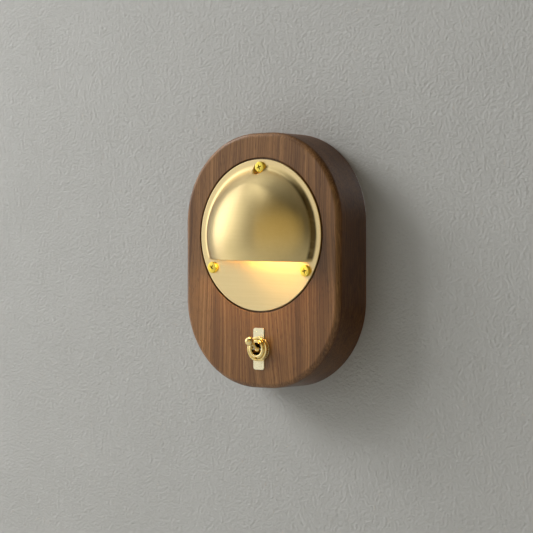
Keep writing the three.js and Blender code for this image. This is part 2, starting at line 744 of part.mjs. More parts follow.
function troughLine() {
  const steps = 8;
  const reach = LEVER_TILT + 2;
  const path = Array.from({ length: steps + 1 }, (_, i) => {
    const t = -reach + (2 * reach * i) / steps;
    const tip = [PIVOT_Y - ROCKER_Y + TIP_ARM * Math.cos(rad(t)), TIP_ARM * Math.sin(rad(t))];
    return turnX(tip, (ROCKER_TILT * t) / LEVER_TILT);
  });
  return path.map(([y, z], i) => {
    const [ya, za] = path[Math.max(i - 1, 0)];
    const [yb, zb] = path[Math.min(i + 1, steps)];
    const length = Math.hypot(yb - ya, zb - za);
    return { y, z, ny: (zb - za) / length, nz: -(yb - ya) / length };
  });
}

const trough = troughLine();

function contactRocker() {
  const offset = (distance) => trough.map(({ y, z, ny, nz }) => [y + distance * ny, z + distance * nz]);
  const front = offset(TROUGH_OFFSET);
  const back = offset(TROUGH_OFFSET + ROCKER_T);
  const armFront = front[0][0] + 0.5;
  const armBack = armFront + ROCKER_T;
  const outline = [
    [armFront, -ROCKER_REACH], ...front, [armFront, ROCKER_REACH],
    [armBack, ROCKER_REACH], ...back.reverse(), [armBack, -ROCKER_REACH],
  ];
  const buttonY = armBack + CONTACT_H;
  const buttons = [-1, 1].map((side) => drum(1.1, armFront + 0.3, buttonY, 0, side * CONTACT_Z, 10));
  return { body: join(strip(outline, 5), ...buttons), buttonY };
}

const rocker = new THREE.Group();
rocker.position.set(0, ROCKER_Y, TOGGLE_Z);
rocker.rotation.x = rad(ROCKER_TILT);
light.add(rocker);
const seesaw = contactRocker();
addPiece('contact_rocker', seesaw.body, 'copper', rocker);

// ---------------------------------------------------------------- switch terminals

const TAB_Y0 = CASE_BACK_Y + GAP;
const TAB_Y1 = TAB_Y0 + 0.8;
const ridgeY = ROCKER_Y + GAP;

const commonTerminal = cut(
  join(
    box(-2, 2, ridgeY + 0.4, TAB_Y1, TOGGLE_Z - STRAP_HALF, TOGGLE_Z + STRAP_HALF),
    barX(0.4, -2, 2, ridgeY + 0.4, TOGGLE_Z, 12),
    box(-2.5, 2.5, TAB_Y0, TAB_Y1, TOGGLE_Z - STRAP_HALF, COMMON_SCREW_Z + 3),
  ),
  drum(1.5, TAB_Y0 - 1, TAB_Y1 + 1, 0, COMMON_SCREW_Z, 12),
);
addPiece('terminal_common', commonTerminal, 'copper');

const buttonAtRest = turnX([seesaw.buttonY, -CONTACT_Z], ROCKER_TILT);
const loadPadY = ROCKER_Y + buttonAtRest[0] + 0.5;
const loadTerminal = cut(
  join(
    box(-2, 2, loadPadY, loadPadY + 0.8, TOGGLE_Z - 9.3, TOGGLE_Z - 5.6),
    box(-2, 2, loadPadY, TAB_Y1, LOAD_STRAP_Z - STRAP_HALF, LOAD_STRAP_Z + STRAP_HALF),
    box(-2.5, 2.5, TAB_Y0, TAB_Y1, LOAD_STRAP_Z - STRAP_HALF, TOGGLE_Z - 1.5),
  ),
  drum(1.5, TAB_Y0 - 1, TAB_Y1 + 1, 0, LOAD_SCREW_Z, 12),
);
addPiece('terminal_load', loadTerminal, 'copper');

for (const [name, z] of [['common', COMMON_SCREW_Z], ['load', LOAD_SCREW_Z]]) {
  addPiece(`terminal_screw_${name}`, crossScrew({
    x: 0, z, seat: TAB_Y1 + 0.1, tip: CASE_FLOOR_Y + 0.3, facing: 1, headR: 2.3, headH: 1.6, shankR: 1.2,
  }), 'steel');
}

// ---------------------------------------------------------------- LED driver

function driverCase() {
  const { x0, x1, z0, z1, yBack } = DRIVER;
  const wall = 1.5;
  const ears = driverScrews.map(({ x, z }) => cut(
    box(x - 3.5, x + 3.5, DRIVER_FRONT_Y, DRIVER_FRONT_Y + wall, z - 4, z + 4),
    drum(1.7, DRIVER_FRONT_Y - 1, DRIVER_FRONT_Y + 3, x, z, 8),
  ));
  return cut(
    join(box(x0, x1, DRIVER_FRONT_Y, yBack, z0, z1), ...ears),
    box(x0 + wall, x1 - wall, DRIVER_FRONT_Y + wall, yBack + 1, z0 + wall, z1 - wall),
    barZ(1.3, z0 - 1, z0 + 3, -27, -14),
    barX(1.3, x1 - 3, x1 + 1, -13, -15),
    barZ(1.1, z1 - 3, z1 + 1, -2.2, -12),
    barZ(1.1, z1 - 3, z1 + 1, 2.2, -12),
  );
}

function driverLid() {
  const { x0, x1, z0, z1, yBack } = DRIVER;
  const lip = 1.5 + GAP;
  const y = yBack + GAP;
  return join(
    box(x0, x1, y, y + 1.2, z0, z1),
    cut(
      box(x0 + lip, x1 - lip, y - 1.5, y + 0.2, z0 + lip, z1 - lip),
      box(x0 + lip + 1, x1 - lip - 1, y - 2, y, z0 + lip + 1, z1 - lip - 1),
    ),
  );
}

addPiece('driver_case', driverCase(), 'whitePlastic');
addPiece('driver_lid', driverLid(), 'whitePlastic');
addPiece('driver_board', box(-38, 14, -18.5, -17.3, -35, -11), 'boardGreen');
addPiece('driver_transformer', join(
  box(-20, -6, -17.2, -9.6, -27, -19),
  box(-18, -8, -16.4, -10.2, -31, -15),
), 'blackPlastic');
addPiece('driver_capacitor', barX(4, -36, -24, -13.1, -22, 20), 'blackPlastic');

for (const { name, x, z } of driverScrews) {
  addPiece(`driver_screw_${name}`, crossScrew({
    x, z, seat: DRIVER_FRONT_Y + 1.6, tip: -25, facing: 1, headR: 2.5, headH: 1.7, shankR: 1.3,
  }), 'steel');
}

// ---------------------------------------------------------------- terminal block

function terminalBlock() {
  const { x0, x1, z0, z1, yBack } = TERMINALS;
  const holes = poleZ.flatMap((z) => [
    barX(1.6, x0 - 1, x0 + 7, WIRE_ENTRY_Y, z),
    barX(1.8, x1 - 7, x1 + 1, WIRE_ENTRY_Y, z),
    drum(2.2, -14, yBack + 1, x0 + 4.5, z, 10),
  ]);
  const valleys = poleZ.slice(1).map((z) => box(x0 - 1, x1 + 1, yBack - 2, yBack + 1, z - 4.5, z - 3.5));
  return cut(
    box(x0, x1, DRIVER_FRONT_Y, yBack, z0, z1),
    ...holes,
    ...valleys,
    drum(1.7, DRIVER_FRONT_Y - 1, -11, blockScrew.x, blockScrew.z, 8),
    drum(2.9, -12, yBack + 1, blockScrew.x, blockScrew.z, 10),
  );
}

addPiece('terminal_block', terminalBlock(), 'whitePlastic');

poleZ.forEach((z, i) => {
  addPiece(`clamp_screw_${i + 1}`, crossScrew({
    x: TERMINALS.x0 + 4.5, z, seat: -10.4, tip: -13.2, facing: 1, headR: 1.8, headH: 1.4, shankR: 1.3,
  }), 'steel');
});

addPiece('block_screw', crossScrew({
  x: blockScrew.x, z: blockScrew.z, seat: -11.9, tip: -25, facing: 1, headR: 2.5, headH: 1.7, shankR: 1.3,
}), 'steel');

// ---------------------------------------------------------------- wires

const wireStartX = TERMINALS.x0 + 3.5;

addPiece('live_wire', wire([
  [wireStartX, WIRE_ENTRY_Y, -28], [24, WIRE_ENTRY_Y, -28.5], [20.5, -13, -37], [14, -10, -46],
  [8, -9.8, -50.4], [3.2, -10, COMMON_SCREW_Z],
], 0.9), 'liveBrown');

addPiece('switched_wire', wire([
  [-3.2, -10, LOAD_SCREW_Z], [-10, -9, -59], [-19, -9, -52], [-25, -11, -44.5], [-27, -13.6, -39.5],
  [-27, -14, -34.5],
], 0.9), 'liveBrown');

addPiece('neutral_wire', wire([
  [wireStartX, WIRE_ENTRY_Y, -20], [24.5, WIRE_ENTRY_Y, -20], [20.5, -13.4, -17], [18, -13, -15.2],
  [13, -13, -15],
], 0.9, 12), 'neutralBlue');

addPiece('earth_wire', wire([
  [wireStartX, WIRE_ENTRY_Y, -12], [24.5, -14.6, -12.2], [21.8, -10, -17], [21.5, -7, -27],
  [22.5, -4.9, -36], [26, -3.9, -43.5],
], 0.9), 'earthGreen');

for (const [name, side, finish] of [['positive', -1, 'ledRed'], ['negative', 1, 'ledBlack']]) {
  addPiece(`led_wire_${name}`, wire([
    [side * 2.2, -12, -12], [side * 2.2, -12, -8], [side * 2, -9.4, -2], [side * 1.4, -9.2, 5],
    [side * 1.15, -11.5, 10], [side * 1.15, -14, 10.8], [side * 1.15, -17.6, 10.8],
  ], 0.7, 18), finish);
}

export default light;
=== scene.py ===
# %% [markdown]
# A small walnut wall light with a brass face, an eyelid hood and its own toggle switch.
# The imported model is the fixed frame: it gives the size and the place of every part. On top of it this
# lesson makes the pieces that the eye rests on, finer than the frame has them, and gives every part a
# finish. The wall is the plane Y = 0, the front faces -Y and Z is up.

import json
import math

import bmesh
import bpy
from mathutils import Matrix, Vector


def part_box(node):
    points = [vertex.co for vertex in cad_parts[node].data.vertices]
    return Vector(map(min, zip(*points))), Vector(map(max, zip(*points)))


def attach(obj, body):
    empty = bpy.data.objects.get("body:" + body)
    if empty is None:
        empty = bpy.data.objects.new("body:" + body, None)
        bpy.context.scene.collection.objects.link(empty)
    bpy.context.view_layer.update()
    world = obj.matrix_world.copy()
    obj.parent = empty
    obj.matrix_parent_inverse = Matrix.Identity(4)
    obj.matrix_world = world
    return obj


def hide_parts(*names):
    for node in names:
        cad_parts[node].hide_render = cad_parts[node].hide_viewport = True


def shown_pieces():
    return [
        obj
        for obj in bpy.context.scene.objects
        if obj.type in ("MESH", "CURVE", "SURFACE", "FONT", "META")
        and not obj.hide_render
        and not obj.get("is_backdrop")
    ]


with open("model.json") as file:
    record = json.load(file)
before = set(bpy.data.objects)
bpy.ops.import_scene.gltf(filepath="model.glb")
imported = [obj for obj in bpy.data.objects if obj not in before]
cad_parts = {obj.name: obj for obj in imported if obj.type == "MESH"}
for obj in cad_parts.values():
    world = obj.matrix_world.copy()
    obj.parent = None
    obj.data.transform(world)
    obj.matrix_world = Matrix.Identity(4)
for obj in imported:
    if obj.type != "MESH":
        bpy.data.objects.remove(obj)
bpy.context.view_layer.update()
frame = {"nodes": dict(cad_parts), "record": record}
MM = 0.001

# %% [markdown]
# Every place is read from the frame. The housing gives the outline, the bushing gives the toggle's axis,
# and the disc's box is square about its axis, so its middle is the axis that the hood and the face screws
# share.

# %% Read the places of the parts, in millimetres
def span(node):
    """Lowest and highest corner of a part, in millimetres."""
    low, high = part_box(node)
    return low / MM, high / MM


body_low, body_high = span("wood_housing")
BODY_W = body_high.x - body_low.x
BODY_H = body_high.z - body_low.z
FRONT_Y = body_low.y
disc_low, disc_high = span("face_disc")
DISC_Z = (disc_low.z + disc_high.z) / 2
DISC_R = (disc_high.x - disc_low.x) / 2
DISC_FACE_Y = disc_low.y
hood_low, hood_high = span("hood")
HOOD_HEIGHT = DISC_FACE_Y - hood_low.y
bush_low, bush_high = span("bushing")
TOGGLE_Z = (bush_low.z + bush_high.z) / 2
print(f"housing {BODY_W:.1f} x {BODY_H:.1f} x {-FRONT_Y:.1f} mm")
print(f"disc radius {DISC_R:.1f} at z {DISC_Z:.1f}, hood {HOOD_HEIGHT:.1f} mm high")
print(f"toggle axis at z {TOGGLE_Z:.1f}")

# %% [markdown]
# The camera comes first. It stands to the right of the light, level with it and a little over a metre away,
# with a long lens, so the upright sides stay upright.

# %% Place the camera
AZIMUTH, ELEVATION, ROLL = math.radians(37.865), math.radians(0.271), math.radians(-0.041)
DISTANCE = 1156.86 * MM
AIM_RIGHT, AIM_UP = -13.69 * MM, -3.955 * MM
LENS = 122.31
SENSOR = 36.0

towards_camera = Vector((
    math.sin(AZIMUTH) * math.cos(ELEVATION),
    -math.cos(AZIMUTH) * math.cos(ELEVATION),
    math.sin(ELEVATION),
))
level_right = Vector((math.cos(AZIMUTH), math.sin(AZIMUTH), 0))
level_up = towards_camera.cross(level_right)
right = level_right * math.cos(ROLL) + level_up * math.sin(ROLL)
up = level_up * math.cos(ROLL) - level_right * math.sin(ROLL)
camera = bpy.data.objects.new("camera", bpy.data.cameras.new("camera"))
camera.data.lens = LENS
camera.data.sensor_width = SENSOR
camera.data.clip_end = 20
place = Matrix((right, up, towards_camera)).transposed().to_4x4()
place.translation = right * AIM_RIGHT + up * AIM_UP + towards_camera * DISTANCE
camera.matrix_world = place
bpy.context.scene.collection.objects.link(camera)
bpy.context.scene.camera = camera
print("camera at", [round(v, 3) for v in camera.location])

# %% [markdown]
# Finishes are node trees. To read like a formula, a socket is wrapped in a small class with the ordinary
# operators, so that 1 - mask adds a Math node by itself. All other nodes come from one function, which takes
# a node's type, its settings, which are set first, and then the values or links of its sockets.

# %% A socket with arithmetic
class Value:
    """One output socket. Arithmetic on it adds Math nodes to its tree."""

    def __init__(self, tree, socket):
        self.tree = tree
        self.socket = socket

    def math(self, operation, *others, clamp=False):
        node = self.tree.nodes.new("ShaderNodeMath")
        node.operation = operation
        node.use_clamp = clamp
        for slot, other in zip(node.inputs, (self, *others)):
            if isinstance(other, Value):
                self.tree.links.new(other.socket, slot)
            else:
                slot.default_value = other
        return Value(self.tree, node.outputs[0])

    def flipped(self, operation, other):
        node = self.tree.nodes.new("ShaderNodeMath")
        node.operation = operation
        node.inputs[0].default_value = other
        self.tree.links.new(self.socket, node.inputs[1])
        return Value(self.tree, node.outputs[0])

    def __add__(self, other):
        return self.math("ADD", other)

    def __sub__(self, other):
        return self.math("SUBTRACT", other)

    def __rsub__(self, other):
        return self.flipped("SUBTRACT", other)

    def __mul__(self, other):
        return self.math("MULTIPLY", other)

    def __truediv__(self, other):
        return self.math("DIVIDE", other)

    def __pow__(self, other):
        return self.math("POWER", other)

    __radd__ = __add__
    __rmul__ = __mul__

    def clamped(self):
        return self.math("ADD", 0.0, clamp=True)

    def step(self, low, high):
        """0 below low, 1 above high, smooth between."""
        node = self.tree.nodes.new("ShaderNodeMapRange")
        node.interpolation_type = "SMOOTHSTEP"
        node.inputs["From Min"].default_value = low
        node.inputs["From Max"].default_value = high
        self.tree.links.new(self.socket, node.inputs["Value"])
        return Value(self.tree, node.outputs["Result"])


# %% Any other node
def set_stops(ramp, stops):
    while len(ramp.elements) < len(stops):
        ramp.elements.new(1.0)
    for element, (position, colour) in zip(ramp.elements, stops):
        element.position = position
        element.color = (*colour, 1.0)


def add_node(tree, kind, settings=None, sockets=None, out=0):
    """Add one node to a tree and give its output: settings first, then values or links."""
    made = tree.nodes.new("ShaderNode" + kind)
    for key, value in (settings or {}).items():
        if key == "stops":
            set_stops(made.color_ramp, value)
        else:
            setattr(made, key, value)
    for key, value in (sockets or {}).items():
        if isinstance(value, Value):
            tree.links.new(value.socket, made.inputs[key])
        else:
            made.inputs[key].default_value = value
    return Value(tree, made.outputs[out])


print("node kit ready")

# %% [markdown]
# A finish owns one material. Lengths in a finish are in millimetres, because grain and brushing are thought
# of in millimetres.

# %% A finish under construction
class Finish:
    """One procedural material around a Principled shader."""

    def __init__(self, name):
        self.material = bpy.data.materials.new(name)
        self.material.use_nodes = True
        self.tree = self.material.node_tree
        self.shader = self.tree.nodes["Principled BSDF"]
        position = self.node("TexCoord", out="Object")
        self.place = self.scaled(position, 1 / MM)

    def node(self, *what, **how):
        return add_node(self.tree, *what, **how)

    def scaled(self, vector, scale):
        """A vector times one number or times three."""
        factors = scale if hasattr(scale, "__len__") else (scale,) * 3
        return self.node("VectorMath", {"operation": "MULTIPLY"}, {0: vector, 1: factors})

    def noise(self, vector, detail=3.0, roughness=0.5):
        return self.node("TexNoise", None, {
            "Vector": vector, "Scale": 1.0, "Detail": detail, "Roughness": roughness,
        })

    def mix(self, factor, first, second, blend="MIX"):
        """Two colours mixed: 0 gives the first and 1 the second."""
        return self.node("Mix", {"data_type": "RGBA", "blend_type": blend},
                         {0: factor, 6: first, 7: second}, out=2)

    def axes(self):
        node = self.tree.nodes.new("ShaderNodeSeparateXYZ")
        self.tree.links.new(self.place.socket, node.inputs[0])
        return [Value(self.tree, socket) for socket in node.outputs]

    def vector(self, x, y, z):
        return self.node("CombineXYZ", None, {"X": x, "Y": y, "Z": z})

    def facing(self, direction):
        """How squarely the surface faces a direction: 1 straight at it, 0 edge on."""
        normal = self.node("NewGeometry", out="True Normal")
        return self.node("VectorMath", {"operation": "DOT_PRODUCT"}, {0: normal, 1: direction}, out="Value")

    def bump(self, height, distance, strength=1.0):
        """Height in parts of the given distance, which is in millimetres."""
        return self.node("Bump", None, {
            "Height": height, "Distance": distance * MM, "Strength": strength,
        })

    def set(self, **sockets):
        """Values or links for the Principled shader, with _ for a space in a socket's name."""
        for key, value in sockets.items():
            slot = self.shader.inputs[key.replace("_", " ")]
            if isinstance(value, Value):
                self.tree.links.new(value.socket, slot)
            elif hasattr(value, "__len__") and len(value) == 3 and slot.type == "RGBA":
                slot.default_value = (*value, 1.0)
            else:
                slot.default_value = value


def rgb(*colour):
    return (*colour, 1.0)


finishes = {}
print("finish kit ready")

# %% [markdown]
# Walnut. The board stands upright, so its grain runs along Z. Three things make the look: slow bands of
# lighter and darker wood, fine straight streaks a third of a millimetre wide, and pores, which are short
# dark dashes. All are cut from the solid in X, Y and Z, so the grain runs on round the corners and the top
# shows end grain, as a real board does. Faces turned away from the front get a painted shade, darker and
# browner, and the right and upper edges have less lacquer left on them, so they shine less.

# %% Walnut
walnut = Finish("walnut")
gx, gy, gz = walnut.axes()
drift = walnut.noise(walnut.vector(gx * 0.012, gy * 0.012, gz * 0.006), detail=2.0)
across = gx + drift * 26.0
depth = gy * 0.9
bands = walnut.noise(walnut.vector(across * 0.10, depth * 0.10, gz * 0.005), detail=3.0)
streaks = walnut.noise(walnut.vector(across * 1.5, depth * 1.5, gz * 0.007), detail=3.0, roughness=0.65)
fibres = walnut.noise(walnut.vector(across * 4.6, depth * 4.6, gz * 0.07), detail=2.0)
pore_noise = walnut.noise(walnut.vector(across * 3.4, depth * 3.4, gz * 0.20), detail=1.0)
pores = pore_noise.step(0.60, 0.72)
tone = (bands.step(0.22, 0.78) * 0.30 + streaks.step(0.30, 0.70) * 0.48 + fibres * 0.24).clamped()
heart = walnut.node("ValToRGB", {"stops": [
    (0.0, (0.062, 0.026, 0.008)),
    (0.35, (0.150, 0.067, 0.022)),
    (0.65, (0.255, 0.122, 0.042)),
    (1.0, (0.420, 0.225, 0.088)),
]}, {"Fac": tone})
stain_and_side_shade = walnut.mix(pores * 0.6, heart, rgb(0.045, 0.021, 0.009))
# Painted shade: faces turned away from the front are darkened and browned in the colour.
painted_side_shade = 1.0 - walnut.facing((0, -1, 0)).step(0.10, 0.70)
stain_and_side_shade = walnut.mix(painted_side_shade * 0.8, stain_and_side_shade, rgb(0.42, 0.30, 0.14), blend="MULTIPLY")
sideways = walnut.facing((0.8, 0, 0.6))
relief = streaks * 0.5 + fibres * 0.3 - pores * 0.6
walnut.set(
    Base_Color=stain_and_side_shade,
    Roughness=(0.40 + 0.14 * fibres + 0.10 * pores).clamped(),
    Normal=walnut.bump(relief, 0.05, 0.5),
    Specular_IOR_Level=0.15,
    Coat_Weight=0.55 - 0.5 * sideways.step(0.45, 0.8),
    Coat_Roughness=0.18,
)
finishes["walnut"] = walnut
print("walnut:", len(walnut.tree.nodes), "nodes")

# %% [markdown]
# Brushed brass. The face is brushed with level strokes before the lacquer goes on. The strokes are noise
# stretched a hundred times along the stroke, and they move the roughness and a very shallow bump. Strokes
# also spread a highlight across themselves, so the shader is anisotropic. A slow cloud in the colour keeps
# the metal from looking painted. The disc is turned a little in the housing, and its strokes turn with it.
# A painted shade darkens the corner between hood and disc on the shaded side, as a dark line.

# %% Brushed brass, for the disc and the hood
DISC_TURN = math.radians(1.5)
SEAM_INNER = (40.2, 41.4)
SEAM_OUTER = (43.2, 45.2)
SEAM_SHADE_STRENGTH = 0.93


def painted_seam_shade(finish):
    """1 in the corner where the hood meets the disc, on the shaded side: a painted shade."""
    x, _, z = finish.axes()
    up = z - DISC_Z
    away = (x ** 2.0 + up ** 2.0) ** 0.5
    corner = away.step(*SEAM_INNER) * (1.0 - away.step(*SEAM_OUTER))
    side = ((x - up * 0.25) / away).step(0.10, 0.80) * up.step(-17.5, -14.0)
    patchy = finish.noise(finish.scaled(finish.place, 0.25), detail=3.0)
    return corner * side * (0.75 + 0.5 * patchy)


def brushed(name, colour, deep, roughness, stroke=0.03, fine=5.0, relief=0.010):
    """A brass sheet brushed along X: colour in the light strokes and deep in the dark ones."""
    finish = Finish(name)
    turned_place = finish.node("VectorRotate", {"rotation_type": "Y_AXIS"}, {
        "Vector": finish.place, "Angle": -DISC_TURN,
    })
    strokes = finish.noise(finish.scaled(turned_place, (stroke, fine, fine)), detail=4.0, roughness=0.6)
    wide = finish.noise(finish.scaled(turned_place, (stroke * 0.5, fine * 0.16, fine * 0.16)), detail=2.0)
    clouds = finish.noise(finish.scaled(finish.place, 0.04), detail=2.0)
    tone = (strokes * 0.55 + wide * 0.35 + clouds * 0.25 - 0.08).clamped()
    metal = finish.mix(tone, rgb(*deep), rgb(*colour))
    finish.set(
        # Painted shade: the corner at the hood's foot is darkened to a deep brown in the colour.
        Base_Color=finish.mix(painted_seam_shade(finish).clamped() * SEAM_SHADE_STRENGTH, metal, rgb(0.07, 0.045, 0.018)),
        Metallic=1.0,
        Roughness=(roughness + (strokes - 0.5) * 0.16 + (wide - 0.5) * 0.08).clamped(),
        Normal=finish.bump(strokes * 0.7 + wide * 0.6, relief, 0.8),
        Anisotropic=0.7,
        Anisotropic_Rotation=0.25,
        Coat_Weight=0.10,
        Coat_Roughness=0.25,
    )
    finishes[name] = finish


brushed("brushed_brass", (0.94, 0.76, 0.42), (0.76, 0.58, 0.27), 0.34, relief=0.014)
brushed("hood_brass", (0.93, 0.75, 0.39), (0.78, 0.60, 0.26), 0.34, relief=0.006)
brushed("legend_brass", (1.0, 0.93, 0.66), (0.97, 0.86, 0.54), 0.28, stroke=0.6, fine=6.0)
print("brushed brass ready")

# %% [markdown]
# Polished brass for the screws, the nut, the bushing and the lever: a deeper gold, nearly a mirror, with
# faint turning marks. The bottom of a knurl and of a screw's cross get a painted shade, dark and rough;
# it is laid where a hidden place is measured to be.

# %% Polished brass
SCREW_CIRCLE_R = 42.5
SCREW_ANGLES = {"top": 90.0, "left": 210.0, "right": 330.0}
HEAD_H = 2.0
NUT_R = 7.8


def polished(name, colour, deep, roughness, hidden=None):
    """Bright brass. hidden takes the finish and gives 1 where a hollow gets painted shade."""
    finish = Finish(name)
    marks = finish.noise(finish.scaled(finish.place, 1.6), detail=4.0, roughness=0.6)
    patches = finish.noise(finish.scaled(finish.place, 0.35), detail=3.0)
    metal = finish.mix(patches.step(0.35, 0.75), rgb(*colour), rgb(*deep))
    shine = roughness + marks * 0.12
    if hidden:
        # Painted shade: the hollows are darkened to a deep brown and made rougher.
        painted_recess_shade = hidden(finish)
        metal = finish.mix(painted_recess_shade * 0.65, metal, rgb(0.14, 0.075, 0.012))
        shine = shine + painted_recess_shade * 0.3
    finish.set(
        Base_Color=metal,
        Metallic=1.0,
        Roughness=shine.clamped(),
        Normal=finish.bump(marks, 0.01, 0.35),
    )
    finishes[name] = finish


def in_a_cross(finish):
    """1 below the face of a screw's head, near its axis."""
    x, y, z = finish.axes()
    nearest = None
    for angle in SCREW_ANGLES.values():
        a = math.radians(angle) - DISC_TURN
        sx, sz = SCREW_CIRCLE_R * math.cos(a), DISC_Z + SCREW_CIRCLE_R * math.sin(a)
        away = ((x - sx) ** 2.0 + (z - sz) ** 2.0) ** 0.5
        nearest = away if nearest is None else nearest.math("MINIMUM", away)
    return (1.0 - nearest.step(2.1, 2.4)) * (y - (DISC_FACE_Y - HEAD_H)).step(0.3, 0.7)


def in_a_groove(finish):
    """1 in the valleys of the nut's knurl."""
    x, y, z = finish.axes()
    away = (x ** 2.0 + (z - TOGGLE_Z) ** 2.0) ** 0.5
    below_the_tips = (NUT_R - away).step(0.08, 0.26)
    on_the_rim = away.step(NUT_R - 0.75, NUT_R - 0.6)
    return below_the_tips * on_the_rim * (y - NUT_FACE_Y).step(0.5, 0.7)


nut_low, nut_high = span("knurled_nut")
NUT_FACE_Y, NUT_BACK_Y = nut_low.y, nut_high.y
polished("polished_brass", (1.0, 0.83, 0.42), (0.97, 0.75, 0.32), 0.10)
polished("screw_brass", (1.0, 0.82, 0.15), (1.0, 0.76, 0.11), 0.34, in_a_cross)
polished("knurled_brass", (1.0, 0.83, 0.40), (0.97, 0.76, 0.32), 0.10, in_a_groove)
print("polished brass ready")

# %% [markdown]
# The opal lens glows. Its light is warm, as of a lamp of about 2700 K, and a touch brighter in the middle,
# over the emitter.

# %% Frosted lens
LAMP_COLOUR = (1.0, 0.68, 0.33)
LENS_GLOW = 0.6
lens_finish = Finish("frosted_lens")
lens_low, lens_high = span("diffuser_lens")
LENS_X, LENS_Z = (lens_low.x + lens_high.x) / 2, (lens_low.z + lens_high.z) / 2
lx, _, lz = lens_finish.axes()
from_middle = ((lx - LENS_X) ** 2.0 + (lz - LENS_Z) ** 2.0) ** 0.5
glow = 1.0 - from_middle.step(2.0, 24.0) * 0.45
frost = lens_finish.noise(lens_finish.scaled(lens_finish.place, 2.5), detail=3.0)
lens_finish.set(
    Base_Color=lens_finish.mix(frost, rgb(0.90, 0.86, 0.76), rgb(0.95, 0.92, 0.84)),
    Roughness=0.45 + frost * 0.2,
    Normal=lens_finish.bump(frost, 0.02, 0.4),
    Emission_Color=lens_finish.mix(glow, rgb(0.75, 0.46, 0.20), rgb(*LAMP_COLOUR)),
    Emission_Strength=LENS_GLOW,
)
finishes["frosted_lens"] = lens_finish
print("frosted lens ready")

# %% [markdown]
# The back and the inside use plainer finishes. Each one is still a surface with something on it: plated
# steel has a drawn grain, cast metal is mottled, moulded plastic has a fine spark texture, rubber is dusty.

# %% Metal, plastic and rubber for the working parts
def working(name, colour, other, metallic, roughness, spread, grain, relief, stretch=(1.0, 1.0, 1.0)):
    """A plain finish: colour drifts to other over the surface, and a grain moves roughness and relief."""
    finish = Finish(name)
    fine = finish.noise(finish.scaled(finish.place, [grain * s for s in stretch]), detail=3.0)
    slow = finish.noise(finish.scaled(finish.place, 0.09), detail=3.0)
    finish.set(
        Base_Color=finish.mix((slow * 0.6 + fine * 0.5).clamped(), rgb(*colour), rgb(*other)),
        Metallic=metallic,
        Roughness=(roughness + (fine - 0.5) * spread + (slow - 0.5) * spread * 0.6).clamped(),
        Normal=finish.bump(fine, relief, 0.5),
    )
    finishes[name] = finish


DRAWN = (0.04, 1.0, 1.0)
working("steel", (0.60, 0.61, 0.62), (0.74, 0.75, 0.76), 1.0, 0.36, 0.16, 4.0, 0.012, DRAWN)
working("copper", (0.60, 0.30, 0.17), (0.78, 0.46, 0.29), 1.0, 0.32, 0.20, 1.8, 0.02)
working("aluminium", (0.58, 0.59, 0.60), (0.74, 0.75, 0.76), 1.0, 0.45, 0.20, 1.5, 0.06)
working("rubber", (0.018, 0.018, 0.018), (0.045, 0.044, 0.042), 0.0, 0.70, 0.16, 2.0, 0.06)
working("white_board", (0.74, 0.74, 0.70), (0.84, 0.84, 0.80), 0.0, 0.40, 0.12, 1.4, 0.02)
working("phosphor", (0.80, 0.60, 0.10), (0.90, 0.72, 0.20), 0.0, 0.45, 0.12, 2.0, 0.03)
working("phenolic", (0.040, 0.026, 0.020), (0.075, 0.050, 0.038), 0.0, 0.42, 0.16, 1.3, 0.05)
working("nylon", (0.74, 0.70, 0.60), (0.82, 0.79, 0.70), 0.0, 0.38, 0.14, 1.8, 0.02)
working("white_plastic", (0.66, 0.66, 0.62), (0.78, 0.78, 0.75), 0.0, 0.48, 0.14, 2.6, 0.04)
working("green_board", (0.02, 0.13, 0.06), (0.05, 0.22, 0.11), 0.0, 0.34, 0.14, 1.2, 0.03)
working("black_plastic", (0.020, 0.020, 0.022), (0.042, 0.042, 0.046), 0.0, 0.44, 0.18, 2.2, 0.04)
working("live_brown", (0.16, 0.07, 0.03), (0.24, 0.11, 0.055), 0.0, 0.42, 0.12, 1.5, 0.02)
working("neutral_blue", (0.03, 0.11, 0.38), (0.06, 0.18, 0.50), 0.0, 0.42, 0.12, 1.5, 0.02)
working("earth_green", (0.14, 0.38, 0.06), (0.26, 0.52, 0.12), 0.0, 0.42, 0.12, 1.5, 0.02)
working("led_red", (0.42, 0.03, 0.03), (0.56, 0.06, 0.05), 0.0, 0.42, 0.12, 1.5, 0.02)
working("led_black", (0.020, 0.020, 0.020), (0.045, 0.045, 0.045), 0.0, 0.42, 0.12, 1.5, 0.02)
print(len(finishes), "finishes")

# %% [markdown]
# Every part of the frame gets the finish of its slot in the record. Parts that a finer piece stands for
# are hidden later, when that piece is made.

# %% Dress the frame's own parts
node_slot = {row["node"]: row["material_slot"] for row in frame["record"]["subparts"]}
for name, part in frame["nodes"].items():
    part.data.materials.clear()
    part.data.materials.append(finishes[node_slot[name]].material)
print("dressed", len(node_slot), "parts")

# %% [markdown]
# The mesh kit. Three ways of making a body cover this light: turning a profile round an axis along Y, as
# a lathe does; running walls through a stack of outlines; and carving one body with others. All take
# millimetres.

# %% Turning, lofting and carving
def new_piece(name, points, faces):
    """A mesh object from points in millimetres."""
    mesh = bpy.data.meshes.new(name)
    mesh.from_pydata([Vector(p) * MM for p in points], [], faces)
    mesh.validate()
    mesh.update()
    piece = bpy.data.objects.new(name, mesh)
    bpy.context.scene.collection.objects.link(piece)
    return piece


def face_outwards(piece, merge=1e-6, slivers=False):
    """Merge doubled points, take out slivers if asked, and turn every face outwards."""
    work = bmesh.new()
    work.from_mesh(piece.data)
    bmesh.ops.remove_doubles(work, verts=work.verts, dist=merge)
    if slivers:
        bmesh.ops.dissolve_degenerate(work, edges=work.edges, dist=1e-8)
    bmesh.ops.recalc_face_normals(work, faces=work.faces)
    work.to_mesh(piece.data)
    work.free()
    return piece


